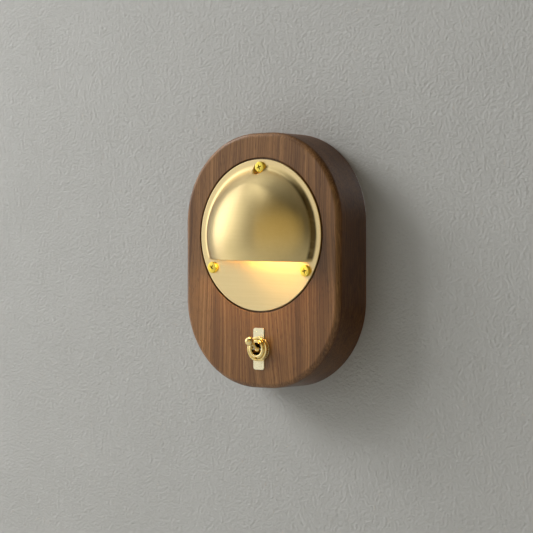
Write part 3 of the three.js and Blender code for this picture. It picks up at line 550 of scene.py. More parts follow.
def turned(name, profile, x=0.0, z=0.0, sides=96, shape=None):
    """A body turned about a line along Y through (x, z). The profile is a list of (radius, y); shape may
    change the radius at each (row, angle)."""
    rows = len(profile)
    points = []
    for i in range(sides):
        a = 2 * math.pi * i / sides
        for k, (radius, y) in enumerate(profile):
            r = shape(k, a, radius) if shape else radius
            points.append((x + r * math.cos(a), y, z + r * math.sin(a)))
    faces = []
    for i in range(sides):
        j = (i + 1) % sides
        for k in range(rows - 1):
            faces.append((i * rows + k, j * rows + k, j * rows + k + 1, i * rows + k + 1))
    return face_outwards(new_piece(name, points, faces), merge=1e-7, slivers=True)


def walls(rings, count):
    """Four-sided faces between neighbouring rings that have count points each."""
    faces = []
    for k in range(rings - 1):
        for i in range(count):
            j = (i + 1) % count
            a, b = k * count, (k + 1) * count
            faces.append((a + i, a + j, b + j, b + i))
    return faces


def lofted(name, rings):
    """Walls through a stack of outlines with equal counts, closed by a face at each end."""
    count = len(rings[0])
    points = [p for ring in rings for p in ring]
    ends = [tuple(range(count)), tuple(range((len(rings) - 1) * count, len(rings) * count))]
    return face_outwards(new_piece(name, points, ends + walls(len(rings), count)))


def rounded_outline(width, height, radius, steps=24, x=0.0, z=0.0):
    """The corner points of a rounded rectangle, as pairs of x and z."""
    points = []
    for sx, sz, start in ((1, 1, 0), (-1, 1, 90), (-1, -1, 180), (1, -1, 270)):
        for i in range(steps + 1):
            a = math.radians(start + 90 * i / steps)
            points.append((x + sx * (width / 2 - radius) + radius * math.cos(a),
                           z + sz * (height / 2 - radius) + radius * math.sin(a)))
    return points


def slab(name, outline, y0, y1):
    """A flat outline made solid from y0 to y1."""
    return lofted(name, [[(x, y, z) for x, z in outline] for y in (y0, y1)])


def block(name, x0, x1, y0, y1, z0, z1):
    return slab(name, [(x0, z0), (x1, z0), (x1, z1), (x0, z1)], y0, y1)


def drum(name, radius, y0, y1, x=0.0, z=0.0, sides=48):
    return turned(name, [(0, y0), (radius, y0), (radius, y1), (0, y1)], x, z, sides)


def carve(piece, tools, operation="DIFFERENCE"):
    """Cut the tools out of the piece, or join them to it, and throw the tools away."""
    for tool in tools:
        modifier = piece.modifiers.new("carve", "BOOLEAN")
        modifier.operation = operation
        modifier.solver = "EXACT"
        modifier.object = tool
    settle(piece)
    for tool in tools:
        mesh = tool.data
        bpy.data.objects.remove(tool)
        bpy.data.meshes.remove(mesh)
    return piece


def settle(piece):
    """Apply the piece's modifiers."""
    graph = bpy.context.evaluated_depsgraph_get()
    mesh = bpy.data.meshes.new_from_object(piece.evaluated_get(graph))
    piece.modifiers.clear()
    old = piece.data
    piece.data = mesh
    bpy.data.meshes.remove(old)
    return piece


print("mesh kit ready")

# %% [markdown]
# A finished piece is smooth where its faces nearly agree and sharp where they meet at an edge, and its
# normals are weighted by face area, so large flats stay flat beside a round edge. It then takes its
# finish, rides on its body and stands for its part of the frame.

# %% Finish and place a piece
SHARP = 32.0


def hand_over(piece, finish, body, *nodes, sharp=SHARP):
    """Smooth the piece, dress it and put it in the place of its nodes."""
    mesh = piece.data
    for polygon in mesh.polygons:
        polygon.use_smooth = True
    mesh.set_sharp_from_angle(angle=math.radians(sharp))
    weighted = piece.modifiers.new("weighted normals", "WEIGHTED_NORMAL")
    weighted.keep_sharp = True
    mesh.materials.clear()
    mesh.materials.append(finishes[finish].material)
    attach(piece, body)
    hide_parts(*nodes)
    print(f"{piece.name}: {len(mesh.vertices)} points, for {', '.join(nodes)}")


def arc(cx, cy, radius, start, stop, steps):
    """Points on an arc, from start to stop in degrees."""
    angles = (math.radians(start + (stop - start) * i / steps) for i in range(steps + 1))
    return [(cx + radius * math.cos(a), cy + radius * math.sin(a)) for a in angles]


# %% [markdown]
# The housing is one thick board, cut to a rounded outline, with its front edge rounded over. A router
# sinks a flat recess for the disc and hollows the back. It is lofted through fine rings, then carved with
# the same cutters a shop would use. The recess and the toggle's hole get a sanded edge, so that a thin
# line of light runs round them.

# %% Walnut housing
CORNER_R = 55.5
EDGE_R = 3.4
BACK_EDGE_R = 0.6
RECESS_R = 48.6
RECESS_Y = DISC_FACE_Y + 2.3
WALL_T = 10.0
FLOOR_Y = -22.0
LEDGE_Y = -1.8
PLATE_INSET = 8.0
BOSS_X, BOSS_Z, BOSS_R = 43.0, 46.0, 5.5
PILOT_R, PILOT_END_Y = 1.7, -15
LIGHT_WAY_R = 37.5
POCKET_X, POCKET_Z, POCKET_Y = 12, 13, -26
HOLE_R = 6.2
SANDED = 0.45
CORNERS = [(-BOSS_X, BOSS_Z), (BOSS_X, BOSS_Z), (-BOSS_X, -BOSS_Z), (BOSS_X, -BOSS_Z)]


def housing_ring(inset, y):
    outline = rounded_outline(BODY_W - 2 * inset, BODY_H - 2 * inset, CORNER_R - inset, 40)
    return [(x, y, z) for x, z in outline]


def sunk_hole(name, radius, bottom, x, z, sides):
    """A cutter for a round hole whose mouth at the front face is sanded round."""
    flare = arc(radius + SANDED, FRONT_Y + SANDED, SANDED, 180, 270, 5)
    profile = [(0, bottom), (radius, bottom), *flare, (radius + SANDED, FRONT_Y - 1), (0, FRONT_Y - 1)]
    return turned(name, profile, x, z, sides)


rings = [housing_ring(BACK_EDGE_R, 0), housing_ring(BACK_EDGE_R * 0.3, -BACK_EDGE_R * 0.3),
         housing_ring(0, -BACK_EDGE_R)]
EDGE_STEPS = 12
for i in range(EDGE_STEPS + 1):
    a = math.radians(90 * i / EDGE_STEPS)
    rings.append(housing_ring(EDGE_R * (1 - math.cos(a)), FRONT_Y + EDGE_R * (1 - math.sin(a))))
housing = lofted("walnut_housing", rings)
hollow = slab("hollow", rounded_outline(BODY_W - 2 * WALL_T, BODY_H - 2 * WALL_T, CORNER_R - WALL_T),
              FLOOR_Y, 1)
carve(hollow, [drum("boss", BOSS_R, FLOOR_Y - 1, 2, x, z) for x, z in CORNERS])
rebate = slab("rebate", rounded_outline(BODY_W - 2 * PLATE_INSET, BODY_H - 2 * PLATE_INSET,
                                        CORNER_R - PLATE_INSET), LEDGE_Y, 1)
carve(housing, [hollow, rebate])
carve(housing, [
    sunk_hole("recess", RECESS_R, RECESS_Y, 0, DISC_Z, 160),
    drum("light_way", LIGHT_WAY_R, RECESS_Y - 1, FLOOR_Y + 1, 0, DISC_Z, 96),
    block("switch_pocket", -POCKET_X, POCKET_X, POCKET_Y, FLOOR_Y + 1,
          TOGGLE_Z - POCKET_Z, TOGGLE_Z + POCKET_Z),
])
carve(housing, [
    sunk_hole("toggle_hole", HOLE_R, POCKET_Y + 1, 0, TOGGLE_Z, 64),
    *[drum("pilot", PILOT_R, PILOT_END_Y, LEDGE_Y + 1, x, z, 16) for x, z in CORNERS],
])
hand_over(housing, "walnut", "fixture", "wood_housing")

# %% [markdown]
# The disc is sheet brass, blanked and its rim broken with a round edge. The rim is what catches the light
# against the dark gap, so it is turned with a real round of half a millimetre. It is cut through for the
# lens and the three screws, and turned with the hood by the same small angle.

# %% Face disc
TURN = Matrix.Rotation(DISC_TURN, 4, "Y")
LENS_LOCAL_Z = 12.0
LENS_R = 18.7
RIM = 0.55


def set_in_lamp(piece):
    """Move a piece made about the disc's own centre to its place, turned with the disc."""
    piece.data.transform(Matrix.Translation((0, 0, DISC_Z * MM)) @ TURN)
    return piece


def screw_place(name):
    a = math.radians(SCREW_ANGLES[name])
    return SCREW_CIRCLE_R * math.cos(a), SCREW_CIRCLE_R * math.sin(a)


disc_back_y = DISC_FACE_Y + 2.0
rim = arc(DISC_R - RIM, DISC_FACE_Y + RIM, RIM, 0, -90, 6)
disc = turned("brass_disc", [(0, disc_back_y), (DISC_R - 0.2, disc_back_y), (DISC_R, disc_back_y - 0.2),
                             *rim, (0, DISC_FACE_Y)], sides=224)
carve(disc, [
    drum("lens_hole", LENS_R + 0.3, DISC_FACE_Y - 1, disc_back_y + 1, 0, LENS_LOCAL_Z, 96),
    *[drum("screw_hole", 1.9, DISC_FACE_Y - 1, disc_back_y + 1, *screw_place(n), 24) for n in SCREW_ANGLES],
])
hand_over(set_in_lamp(disc), "brushed_brass", "fixture", "face_disc")

# %% [markdown]
# The hood is pressed from sheet into part of a sphere whose foot runs out onto the disc in a small fillet,
# then trimmed level below and notched for the top screw. Its edge follows three limits: the circle where
# the fillet meets the disc, the level cut, and the notch. Rays from a point inside meet whichever limit
# comes first, and rings along those rays, closer together over the fillet, make a clean shell with a
# rounded rim, which a boolean could not give.

# %% Eyelid hood
HOOD_BASE_R = 41.8
HOOD_T = 1.2
HOOD_FILLET = 4.5
HOOD_CUT = -16.0
NOTCH_R = 4.7
HOOD_EDGE = 0.35
HOOD_RAYS = 288
DOME_RINGS, FILLET_RINGS, RING_STEPS = 19, 14, 22
DOME_SHARE = DOME_RINGS / RING_STEPS
HOOD_SHARES = [k / RING_STEPS for k in range(1, DOME_RINGS + 1)]
HOOD_SHARES += [DOME_SHARE + 3 / RING_STEPS * k / FILLET_RINGS for k in range(1, FILLET_RINGS + 1)]
RIM_STEPS = 5
sphere_r = (HOOD_BASE_R ** 2 + HOOD_HEIGHT ** 2) / (2 * HOOD_HEIGHT)
sphere_drop = sphere_r - HOOD_HEIGHT
fillet_turn = math.acos((sphere_drop + HOOD_FILLET) / (sphere_r + HOOD_FILLET))
foot_r = (sphere_r + HOOD_FILLET) * math.sin(fillet_turn)
inner_foot_r = math.sqrt((sphere_r - HOOD_T) ** 2 - sphere_drop ** 2)
RAY_Z = 4.0


def sheet_y(radius, depth):
    """Where the sheet is at a radius from the axis, at a depth in the sheet: dome, then fillet."""
    if radius < sphere_r * math.sin(fillet_turn):
        outer = math.sqrt(sphere_r ** 2 - radius ** 2) - sphere_drop
    else:
        outer = HOOD_FILLET - math.sqrt(HOOD_FILLET ** 2 - max(0.0, foot_r - radius) ** 2)
    inner = max(0.0, math.sqrt(max(0.0, (sphere_r - HOOD_T) ** 2 - radius ** 2)) - sphere_drop)
    return DISC_FACE_Y - (outer + (inner - outer) * depth / HOOD_T)


def reach_of(angle, depth, inset):
    """How far a ray goes inside the hood's outline, at a depth in the sheet and inset from its edges."""
    dx, dz = math.cos(angle), math.sin(angle)
    base = foot_r + (inner_foot_r - foot_r) * depth / HOOD_T
    along = RAY_Z * dz
    limits = [-along + math.sqrt(along ** 2 - RAY_Z ** 2 + base ** 2)]
    if dz < -1e-6:
        limits.append((HOOD_CUT + inset - RAY_Z) / dz)
    notch = SCREW_CIRCLE_R - RAY_Z
    closest = notch * dz
    gap = (NOTCH_R + inset) ** 2 - notch ** 2 + closest ** 2
    if dz > 0 and gap > 0:
        limits.append(closest - math.sqrt(gap))
    return min(limits)


def hood_angles():
    """Even rays, with one exactly at each corner of the outline."""
    even = [2 * math.pi * i / HOOD_RAYS for i in range(HOOD_RAYS)]
    half = math.sqrt(foot_r ** 2 - HOOD_CUT ** 2)
    corners = [math.atan2(HOOD_CUT - RAY_Z, side * half) % (2 * math.pi) for side in (1, -1)]
    lift = (foot_r ** 2 + SCREW_CIRCLE_R ** 2 - NOTCH_R ** 2) / (2 * SCREW_CIRCLE_R)
    side_x = math.sqrt(foot_r ** 2 - lift ** 2)
    corners += [math.atan2(lift - RAY_Z, side * side_x) % (2 * math.pi) for side in (1, -1)]
    kept = [a for a in even if min(abs(a - c) for c in corners) > 0.4 * 2 * math.pi / HOOD_RAYS]
    return sorted(kept + corners)


def hood_ring(angles, depth, inset, share):
    ring = []
    for a in angles:
        reach = reach_of(a, depth, inset) * share
        x, z = reach * math.cos(a), RAY_Z + reach * math.sin(a)
        ring.append((x, sheet_y(math.hypot(x, z), depth), z))
    return ring


angles = hood_angles()
hood_rings = [hood_ring(angles, 0, HOOD_EDGE, share) for share in HOOD_SHARES]
for i in range(1, RIM_STEPS + 1):
    a = math.radians(90 * i / RIM_STEPS)
    hood_rings.append(hood_ring(angles, HOOD_EDGE * (1 - math.cos(a)), HOOD_EDGE * (1 - math.sin(a)), 1))
for i in range(RIM_STEPS + 1):
    a = math.radians(90 * i / RIM_STEPS)
    hood_rings.append(hood_ring(
        angles, HOOD_T - HOOD_EDGE * (1 - math.sin(a)), HOOD_EDGE * (1 - math.cos(a)), 1))
hood_rings += [hood_ring(angles, HOOD_T, HOOD_EDGE, share) for share in HOOD_SHARES[-2::-1]]
count = len(angles)
hood_points = [p for ring in hood_rings for p in ring]
hood_faces = walls(len(hood_rings), count)
for depth, ring in ((0, 0), (HOOD_T, len(hood_rings) - 1)):
    middle = len(hood_points)
    hood_points.append((0, sheet_y(RAY_Z, depth), RAY_Z))
    hood_faces += [(ring * count + i, ring * count + (i + 1) % count, middle) for i in range(count)]
hood = face_outwards(new_piece("eyelid_hood", hood_points, hood_faces))
hand_over(set_in_lamp(hood), "hood_brass", "fixture", "hood", sharp=50.0)

# %% [markdown]
# The three face screws have a pan head with a round shoulder and a cross recess with tapering sides. The
# head is turned and the recess is carved with two tapered wedges. Each screw stops where it stops, so the
# crosses stand at different angles.

# %% Pan-head screws
HEAD_R = 3.55
SHANK_R = 1.6
CROWN = 0.14
SHOULDER = 0.7
FACE_SCREW_TIP_Y = -21.5


def cross_cutter(name, reach, half, top, bottom, facing, x, z, turn):
    """Two crossing wedges, wide at the head's top and narrow at the recess's bottom."""
    arms = []
    for quarter in (0, 90):
        a = math.radians(turn + quarter)
        across, along = Vector((math.cos(a), 0, math.sin(a))), Vector((-math.sin(a), 0, math.cos(a)))
        rings = []
        mouth, floor = (top + facing * 0.5, reach * 1.08, half * 1.08), (bottom, reach * 0.42, half * 0.6)
        for y, r, h in (mouth, floor):
            corners = ((-r, -h), (r, -h), (r, h), (-r, h))
            rings.append([Vector((x, y, z)) + across * u + along * v for u, v in corners])
        arms.append(lofted(name, rings))
    return arms


def pan_screw(name, x, z, seat, tip, turn):
    """A pan-head screw facing the front, with a cross recess."""
    top = seat - HEAD_H
    crown = arc(HEAD_R - SHOULDER, top + CROWN + SHOULDER, SHOULDER, 0, -80, 6)
    dome = [(r, top + CROWN * (r / (HEAD_R - SHOULDER)) ** 2) for r in (2.6, 2.0, 1.5, 1.0, 0.5, 0.0)]
    profile = [(0, tip), (SHANK_R - 0.4, tip), (SHANK_R, tip - 0.5), (SHANK_R, seat), (HEAD_R - 0.1, seat),
               (HEAD_R, seat - 0.1), *crown, *dome]
    screw = turned(name, profile, x, z, 72)
    return carve(screw, cross_cutter("recess", 1.95, 0.36, top, top + 1.3, -1, x, z, turn))


for name, turn in (("top", 24.0), ("left", 52.0), ("right", 12.0)):
    screw = pan_screw(f"brass_screw_{name}", *screw_place(name), DISC_FACE_Y, FACE_SCREW_TIP_Y, turn)
    hand_over(set_in_lamp(screw), "screw_brass", "fixture", f"face_screw_{name}")

# %% [markdown]
# The lens is an opal disc with a shallow dome and a flange that the disc holds down.

# %% Lens
LENS_FLANGE_R = LENS_R + 2.9
dome_foot_y = DISC_FACE_Y + 0.2
dome_rise = dome_foot_y - lens_low.y
lens_dome = [(LENS_R * math.sin(math.radians(t)), dome_foot_y - dome_rise * math.cos(math.radians(t)))
             for t in range(90, -1, -9)]
opal = turned("opal_lens", [(0, lens_high.y), (LENS_FLANGE_R, lens_high.y), (LENS_FLANGE_R, RECESS_Y),
                            (LENS_R, RECESS_Y), *lens_dome], 0, LENS_LOCAL_Z, 96)
hand_over(set_in_lamp(opal), "frosted_lens", "fixture", "diffuser_lens")

# %% [markdown]
# The toggle's legend plate is a short strap with round corners and an eye, with no lettering. It was
# punched a little off its eye. Its edges are broken, which draws a bright line round it.

# %% Legend plate
legend_low, legend_high = span("legend_plate")
LEGEND_W, LEGEND_X = 8.5, -0.5
LEGEND_H = legend_high.z - legend_low.z
LEGEND_T = FRONT_Y - legend_low.y
BREAK = 0.16


def broken_slab(name, outline_at, y0, y1, edge):
    """A slab whose front edge at y0 is rounded. outline_at gives the outline for an inset."""
    rings = [[(x, y1, z) for x, z in outline_at(0)]]
    for i in range(5):
        a = math.radians(90 * i / 4)
        y = y0 + edge * (1 - math.sin(a))
        rings.append([(x, y, z) for x, z in outline_at(edge * (1 - math.cos(a)))])
    return lofted(name, rings)


strap = broken_slab("legend_strap", lambda e: rounded_outline(
    LEGEND_W - 2 * e, LEGEND_H - 2 * e, 1.6 - e, 8, LEGEND_X, TOGGLE_Z), FRONT_Y - LEGEND_T, FRONT_Y, BREAK)
EYE_R = NUT_R - 0.3
eye = turned("eye", [(0, FRONT_Y), (EYE_R, FRONT_Y), (EYE_R, FRONT_Y - LEGEND_T + BREAK),
                     (EYE_R - BREAK, FRONT_Y - LEGEND_T), (0, FRONT_Y - LEGEND_T)], 0, TOGGLE_Z, 96)
carve(strap, [eye], "UNION")
carve(strap, [drum("eye_hole", HOLE_R, FRONT_Y - 3, FRONT_Y + 1, 0, TOGGLE_Z, 64)])
strap.name = "legend_plate_fine"
hand_over(strap, "legend_brass", "fixture", "legend_plate")

# %% [markdown]
# The round nut is knurled: a wheel presses straight teeth into its rim, behind a plain flange and a narrow
# groove. The angles of the turned mesh carry the teeth, so the knurl is real relief.

# %% Knurled nut
KNURLS = 34
KNURL_DEPTH = 0.42
KNURL_ROWS = 7
band_front, band_back = NUT_FACE_Y + 0.95, NUT_BACK_Y - 0.2
nut_bore = HOLE_R - 0.05
nut_profile = [(nut_bore, NUT_BACK_Y), (NUT_R - 0.25, NUT_BACK_Y), (NUT_R, NUT_BACK_Y - 0.14)]
first_knurl = len(nut_profile)
nut_profile += [(NUT_R, band_back - (band_back - band_front) * k / (KNURL_ROWS - 1))
                for k in range(KNURL_ROWS)]
last_knurl = len(nut_profile) - 1
nut_profile += [(NUT_R - 0.5, band_front - 0.1), (NUT_R - 0.5, NUT_FACE_Y + 0.55),
                (NUT_R - 0.15, NUT_FACE_Y + 0.42), *arc(NUT_R - 0.35, NUT_FACE_Y + 0.2, 0.2, 0, -90, 4),
                (NUT_R - 0.75, NUT_FACE_Y), (NUT_R - 0.95, NUT_FACE_Y + 0.18),
                (nut_bore + 0.35, NUT_FACE_Y + 0.18), (nut_bore, NUT_FACE_Y + 0.5)]


def knurl(row, angle, radius):
    if not first_knurl <= row <= last_knurl:
        return radius
    along = (row - first_knurl) / (last_knurl - first_knurl)
    ridge = abs(math.sin(KNURLS * angle / 2))
    return radius - KNURL_DEPTH * (1 - ridge) * min(1.0, 6 * along, 6 * (1 - along))


nut_profile.append(nut_profile[0])
nut = turned("knurled_nut_fine", nut_profile, 0, TOGGLE_Z, KNURLS * 8, knurl)
hand_over(nut, "knurled_brass", "fixture", "knurled_nut", sharp=40.0)

# %% [markdown]
# The bushing is a threaded barrel. The thread is a helix, and one turn of the lathe's mesh raises it by
# one pitch, so the rows lean a little with the angle. Its face is a flat ring round the mouth with a
# keyway cut in the lowest place.

# %% Threaded bushing
MOUTH_R = 3.9
BUSH_R = 5.9
BUSH_FRONT_Y = bush_low.y
THREAD_PITCH = 0.75
THREAD_DEPTH = 0.22
THREAD_ROWS = 64
PIVOT_Y = -31.5
BUSH_REAR_Y = bush_high.y
thread_start, thread_end = BUSH_FRONT_Y + 0.6, BUSH_REAR_Y - 0.4
bush_profile = [(BUSH_R - 0.5, BUSH_REAR_Y)]
first_thread = len(bush_profile)
bush_profile += [(BUSH_R, thread_end - (thread_end - thread_start) * k / (THREAD_ROWS - 1))
                 for k in range(THREAD_ROWS)]
last_thread = len(bush_profile) - 1
bush_profile += [(BUSH_R - 0.12, BUSH_FRONT_Y + 0.38), (BUSH_R - 0.3, BUSH_FRONT_Y + 0.14),
                 (BUSH_R - 0.6, BUSH_FRONT_Y), (MOUTH_R + 0.55, BUSH_FRONT_Y),
                 (MOUTH_R + 0.2, BUSH_FRONT_Y + 0.12), (MOUTH_R, BUSH_FRONT_Y + 0.4),
                 (MOUTH_R, PIVOT_Y + 1.5), (BUSH_R - 0.9, BUSH_REAR_Y)]
bush_profile.append(bush_profile[0])


def thread(row, angle, radius):
    if not first_thread <= row <= last_thread:
        return radius
    y = bush_profile[row][1]
    phase = (y / THREAD_PITCH + angle / (2 * math.pi)) % 1.0
    ends = min(1.0, (row - first_thread) / 3, (last_thread - row) / 3)
    return radius - THREAD_DEPTH * (0.5 - 0.5 * math.cos(2 * math.pi * phase)) * ends


bush = turned("threaded_bushing", bush_profile, 0, TOGGLE_Z, 96, thread)
carve(bush, [block("keyway", -0.85, 0.85, BUSH_FRONT_Y - 1, NUT_BACK_Y, TOGGLE_Z - BUSH_R - 1,
                   TOGGLE_Z - BUSH_R + 1)])
hand_over(bush, "polished_brass", "fixture", "bushing", sharp=40.0)

# %% [markdown]
# The lever is turned from one bar: a ball at the end, a slender neck, a smaller ball that it pivots on,
# and a tail that holds the spring and the plunger. It leans up in the on position. The frame has it in
# that position too, so it is turned about its own axis and then leaned by the same angle.

# %% Toggle lever
LEAN = math.radians(-32.0)
LEVER_LENGTH = 9.7
BALL_R = 2.85
PIVOT_R = 1.9
NECK_R, NECK_WIDE = 0.92, 1.15
TAIL_R, TAIL_END, TAIL_BORE = 1.3, 5.0, 0.85
neck_angle = math.degrees(math.asin(NECK_R / BALL_R))
pivot_front = math.degrees(math.asin(NECK_WIDE / PIVOT_R))
pivot_back = math.degrees(math.asin(TAIL_R / PIVOT_R))
ball = [(r, y) for y, r in arc(-LEVER_LENGTH, 0, BALL_R, 180, neck_angle, 22)]
pivot_ball = [(r, y) for y, r in arc(0, 0, PIVOT_R, 180 - pivot_front, pivot_back, 12)]
lever = turned("ball_lever", [*ball, *pivot_ball, (TAIL_R, TAIL_END - 0.2), (TAIL_R - 0.2, TAIL_END),
                              (TAIL_BORE, TAIL_END), (TAIL_BORE, 1.2), (0, 1.2)], sides=56)
pin_hole = drum("pin_hole", 0.8, -4, 4, 0, 0, 24)
pin_hole.data.transform(Matrix.Rotation(math.radians(90), 4, "Z"))
carve(lever, [pin_hole])
lever.data.transform(Matrix.Translation((0, PIVOT_Y * MM, TOGGLE_Z * MM)) @ Matrix.Rotation(LEAN, 4, "X"))
hand_over(lever, "polished_brass", "lever", "toggle_lever")

# %% [markdown]
# The back. A plated steel plate closes the hollow and hangs the light on two wall screws by keyholes. It is
# lofted from a fine outline and drilled with the cutters that its holes need.

# %% Back plate
PLATE_T = 1.5
KEYHOLE_X, KEYHOLE_Z, KEYHOLE_HEAD, KEYHOLE_SLOT, KEYHOLE_RISE = 30.0, 36.0, 4.2, 2.4, 8.0
GROMMET_X, GROMMET_Z, GROMMET_HOLE = 36.0, 12.0, 6.5
EARTH_X, EARTH_Z = 26.0, -50.0
inset = PLATE_INSET + 0.5
plate = broken_slab("steel_back_plate", lambda e: rounded_outline(
    BODY_W - 2 * (inset + e), BODY_H - 2 * (inset + e), CORNER_R - inset - e, 32), 0, -PLATE_T, -0.2)
cuts = [drum("cable_hole", GROMMET_HOLE, -3, 1, GROMMET_X, GROMMET_Z, 64),
        drum("earth_hole", 2.2, -3, 1, EARTH_X, EARTH_Z, 32)]
for side in (-1, 1):
    x = side * KEYHOLE_X
    keyhole = drum("keyhole", KEYHOLE_HEAD, -3, 1, x, KEYHOLE_Z, 48)
    carve(keyhole, [slab("neck", rounded_outline(
        2 * KEYHOLE_SLOT, KEYHOLE_RISE + 2 * KEYHOLE_SLOT, KEYHOLE_SLOT - 0.01, 12, x,
        KEYHOLE_Z + KEYHOLE_RISE / 2), -2.9, 0.9)], "UNION")
    cuts.append(keyhole)
cuts += [turned("countersink", [(0, -2.5), (1.85, -2.5), (1.85, -PLATE_T), (3.35, 0), (3.35, 1), (0, 1)],
                x, z, 40) for x, z in CORNERS]
carve(plate, cuts)
hand_over(plate, "steel", "fixture", "back_plate")

# %% [markdown]
# Four countersunk screws hold the plate, with the same cross recess as the face screws, and the mains cable
# comes through a rubber grommet. All of them are round, so each is turned from its profile.

# %% Countersunk screws, cable grommet
corner_names = ("top_left", "top_right", "bottom_left", "bottom_right")
for (x, z), corner, turn in zip(CORNERS, corner_names, (15.0, 48.0, 71.0, 33.0)):
    screw = turned(f"wood_screw_{corner}", [
        (0, -14), (0.4, -13.9), (1.4, -12.5), (1.4, -1.6),
        (2.75, -0.22), (2.78, -0.12), (2.6, -0.1), (0, -0.1),
    ], x, z, 48)
    carve(screw, cross_cutter("recess", 1.7, 0.33, -0.1, -1.2, 1, x, z, turn))
    hand_over(screw, "steel", "fixture", f"plate_screw_{corner}")
sleeve = GROMMET_HOLE - 0.3
grommet = turned("rubber_grommet", [
    (4.35, -3.3), (7.6, -3.3), (8, -3.0), (8, LEDGE_Y - 0.3), (7.7, LEDGE_Y), (sleeve, LEDGE_Y),
    (sleeve, -0.4), (sleeve - 0.3, -0.1), (4.6, -0.1), (4.2, -0.5), (4.2, -2.9), (4.35, -3.3),
], GROMMET_X, GROMMET_Z, 64)
hand_over(grommet, "rubber", "fixture", "cable_grommet")

# %% [markdown]
# The stage: a painted plaster wall and a pale floor below it. The wall can be seen only from the front, so
# that the back of the light can be looked at through it. Its paint has a fine rolled texture.

# %% Wall and floor
def stage_plane(name, corners, finish):
    """One flat piece of the stage, from its corners in metres."""
    piece = new_piece(name, [Vector(c) * 1000 for c in corners], [(0, 1, 2, 3)])
    piece.data.materials.append(finish.material)
    piece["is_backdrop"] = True


FLOOR_Z = -0.42
WALL_Y = 0.0004
paint = Finish("wall_paint")
rolled = paint.noise(paint.scaled(paint.place, 0.50), detail=5.0, roughness=0.7)
waves = paint.noise(paint.scaled(paint.place, 0.02), detail=2.0)
paint.set(
    Base_Color=paint.mix(waves, rgb(0.50, 0.505, 0.495), rgb(0.55, 0.555, 0.545)),
    Roughness=0.75,
    Normal=paint.bump(rolled, 1.1, 1.0),
)
see_through = paint.node("BsdfTransparent")
behind = paint.node("NewGeometry", out="Backfacing")
painted = Value(paint.tree, paint.shader.outputs[0])
both = paint.node("MixShader", None, {0: behind, 1: painted, 2: see_through})
paint.tree.links.new(both.socket, paint.tree.nodes["Material Output"].inputs["Surface"])
stage_plane("wall", [(-2.5, WALL_Y, FLOOR_Z), (2.5, WALL_Y, FLOOR_Z), (2.5, WALL_Y, 2.0),
                     (-2.5, WALL_Y, 2.0)], paint)

pale = Finish("pale_floor")
specks = pale.noise(pale.scaled(pale.place, 0.01), detail=3.0)
pale.set(Base_Color=pale.mix(specks, rgb(0.60, 0.60, 0.58), rgb(0.66, 0.66, 0.64)), Roughness=0.7)
stage_plane("floor", [(-4, -4, FLOOR_Z), (4, -4, FLOOR_Z), (4, 4, FLOOR_Z), (-4, 4, FLOOR_Z)], pale)
print("wall and floor set")

# %% [markdown]
# The room's own light is a smooth function of direction, so that brass mirrors a calm room. It is made of
# three soft lobes: a cool one on the left, a weak warm one in front, and one behind the wall that is there
# for the views of the back.

# %% Room light
world = bpy.data.worlds.new("room")
bpy.context.scene.world = world
world.use_nodes = True
sky = world.node_tree


def room_node(*what, **how):
    return add_node(sky, *what, **how)


def towards(azimuth, elevation):
    """A direction: azimuth 0 is straight in front of the light and 90 is to its right."""
    a, e = math.radians(azimuth), math.radians(elevation)
    return Vector((math.sin(a) * math.cos(e), -math.cos(a) * math.cos(e), math.sin(e)))


direction = room_node("TexCoord", out="Generated")


def lobe(azimuth, elevation, power, strength):
    """A soft patch of light round one direction."""
    facing = room_node("VectorMath", {"operation": "DOT_PRODUCT"}, {
        0: direction, 1: towards(azimuth, elevation)}, out="Value")
    return facing.math("MAXIMUM", 0.0) ** power * strength


cool = lobe(-70, 12, 3.5, 1.65)
warm = lobe(26, 8, 3.0, 0.20)
back_light = lobe(180, 20, 2.0, 0.95)
ambient = 0.025
cool_level = cool + back_light + ambient
cool_colour = room_node("VectorMath", {"operation": "SCALE"}, {0: (1.0, 1.0, 0.99), "Scale": cool_level})
warm_colour = room_node("VectorMath", {"operation": "SCALE"}, {0: (1.0, 0.80, 0.42), "Scale": warm})
total = room_node("VectorMath", {"operation": "ADD"}, {0: cool_colour, 1: warm_colour})
background = sky.nodes["Background"]
sky.links.new(total.socket, background.inputs["Color"])
background.inputs["Strength"].default_value = 1.0
print("room light set")

# %% [markdown]
# The lamps of a product studio. Brass shows the lamps themselves and a matt wall shows only what they throw,
# so the two jobs are split. The key stands to the left and above, lights what is matt and lays the shadow to
# the right, and no polished face mirrors it. The sheens are wide cards that only glossy faces see: a tall
# one on the left, a narrow one above, and a warm one in front on the right, which gives the brass its deep
# yellow. The edge light is linked to the walnut and draws the line on its rounded edge. A small lamp under
# the hood throws warm light down the disc, and the rear fill only lights the back of the piece.

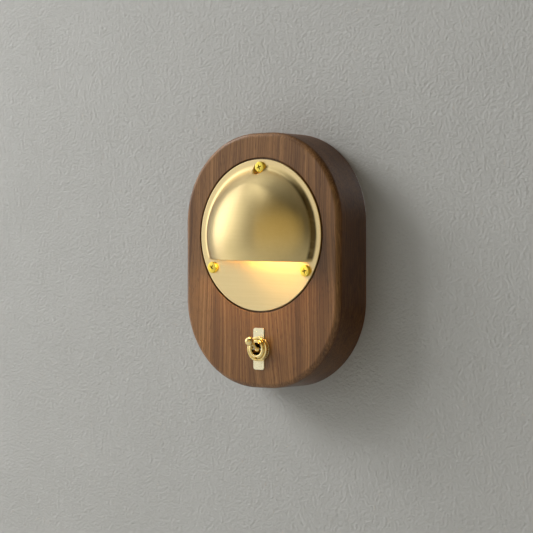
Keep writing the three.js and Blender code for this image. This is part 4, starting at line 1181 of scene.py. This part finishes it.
# %% Lamps
def soft_box(name, azimuth, elevation, distance, width, height, power, colour, aim=(0, 0, 0)):
    """An area light that looks at a point near the object. The camera doesn't see it."""
    data = bpy.data.lights.new(name, "AREA")
    data.shape = "RECTANGLE"
    data.size, data.size_y = width, height
    data.energy = power
    data.color = colour
    lamp = bpy.data.objects.new(name, data)
    target = Vector(aim)
    lamp.location = target + towards(azimuth, elevation) * distance
    lamp.rotation_euler = (lamp.location - target).to_track_quat("Z", "Y").to_euler()
    lamp.visible_camera = False
    bpy.context.scene.collection.objects.link(lamp)
    return lamp


WHITE = (1.0, 0.995, 0.98)
key = soft_box("key_light", -66, 30, 1.8, 0.85, 0.75, 27.5, WHITE)
key.visible_glossy = False
SHEENS = [("left_sheen", -90, 18, 1.2, 1.5, 1.4, 2.9, (1.0, 0.93, 1.1)),
          ("top_sheen", -36, 62, 1.2, 0.8, 0.3, 0.8, WHITE),
          ("front_card", 31, 0, 1.2, 1.7, 1.5, 2.2, (1.0, 0.77, 0.30))]
for row in SHEENS:
    soft_box(*row).visible_diffuse = False
edge_light = soft_box("edge_light", -86, 40, 1.2, 0.6, 0.4, 2.6, WHITE)
edge_light.visible_diffuse = False
wood_only = bpy.data.collections.new("what_the_edge_light_reaches")
wood_only.objects.link(housing)
edge_light.light_linking.receiver_collection = wood_only
rear = soft_box("rear_fill", 180, 12, 1.5, 0.5, 0.5, 10.0, (1.0, 0.98, 0.95))
solid_things = bpy.data.collections.new("what_shades_the_rear_fill")
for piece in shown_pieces():
    solid_things.objects.link(piece)
rear.light_linking.blocker_collection = solid_things
rear.light_linking.receiver_collection = solid_things

throw = bpy.data.lights.new("lamp_throw", "AREA")
throw.shape = "RECTANGLE"
throw.size, throw.size_y = 0.034, 0.010
throw.energy = 0.029
throw.color = LAMP_COLOUR
throw_lamp = bpy.data.objects.new("lamp_throw", throw)
throw_lamp.location = Vector((-2, DISC_FACE_Y - 13, DISC_Z - 2)) * MM
throw_lamp.rotation_euler = (throw_lamp.location - Vector((0, FRONT_Y, DISC_Z - 34)) * MM).to_track_quat(
    "Z", "Y").to_euler()
throw_lamp.visible_camera = False
bpy.context.scene.collection.objects.link(throw_lamp)
bpy.context.scene.view_settings.view_transform = "Standard"
print("lamps set")
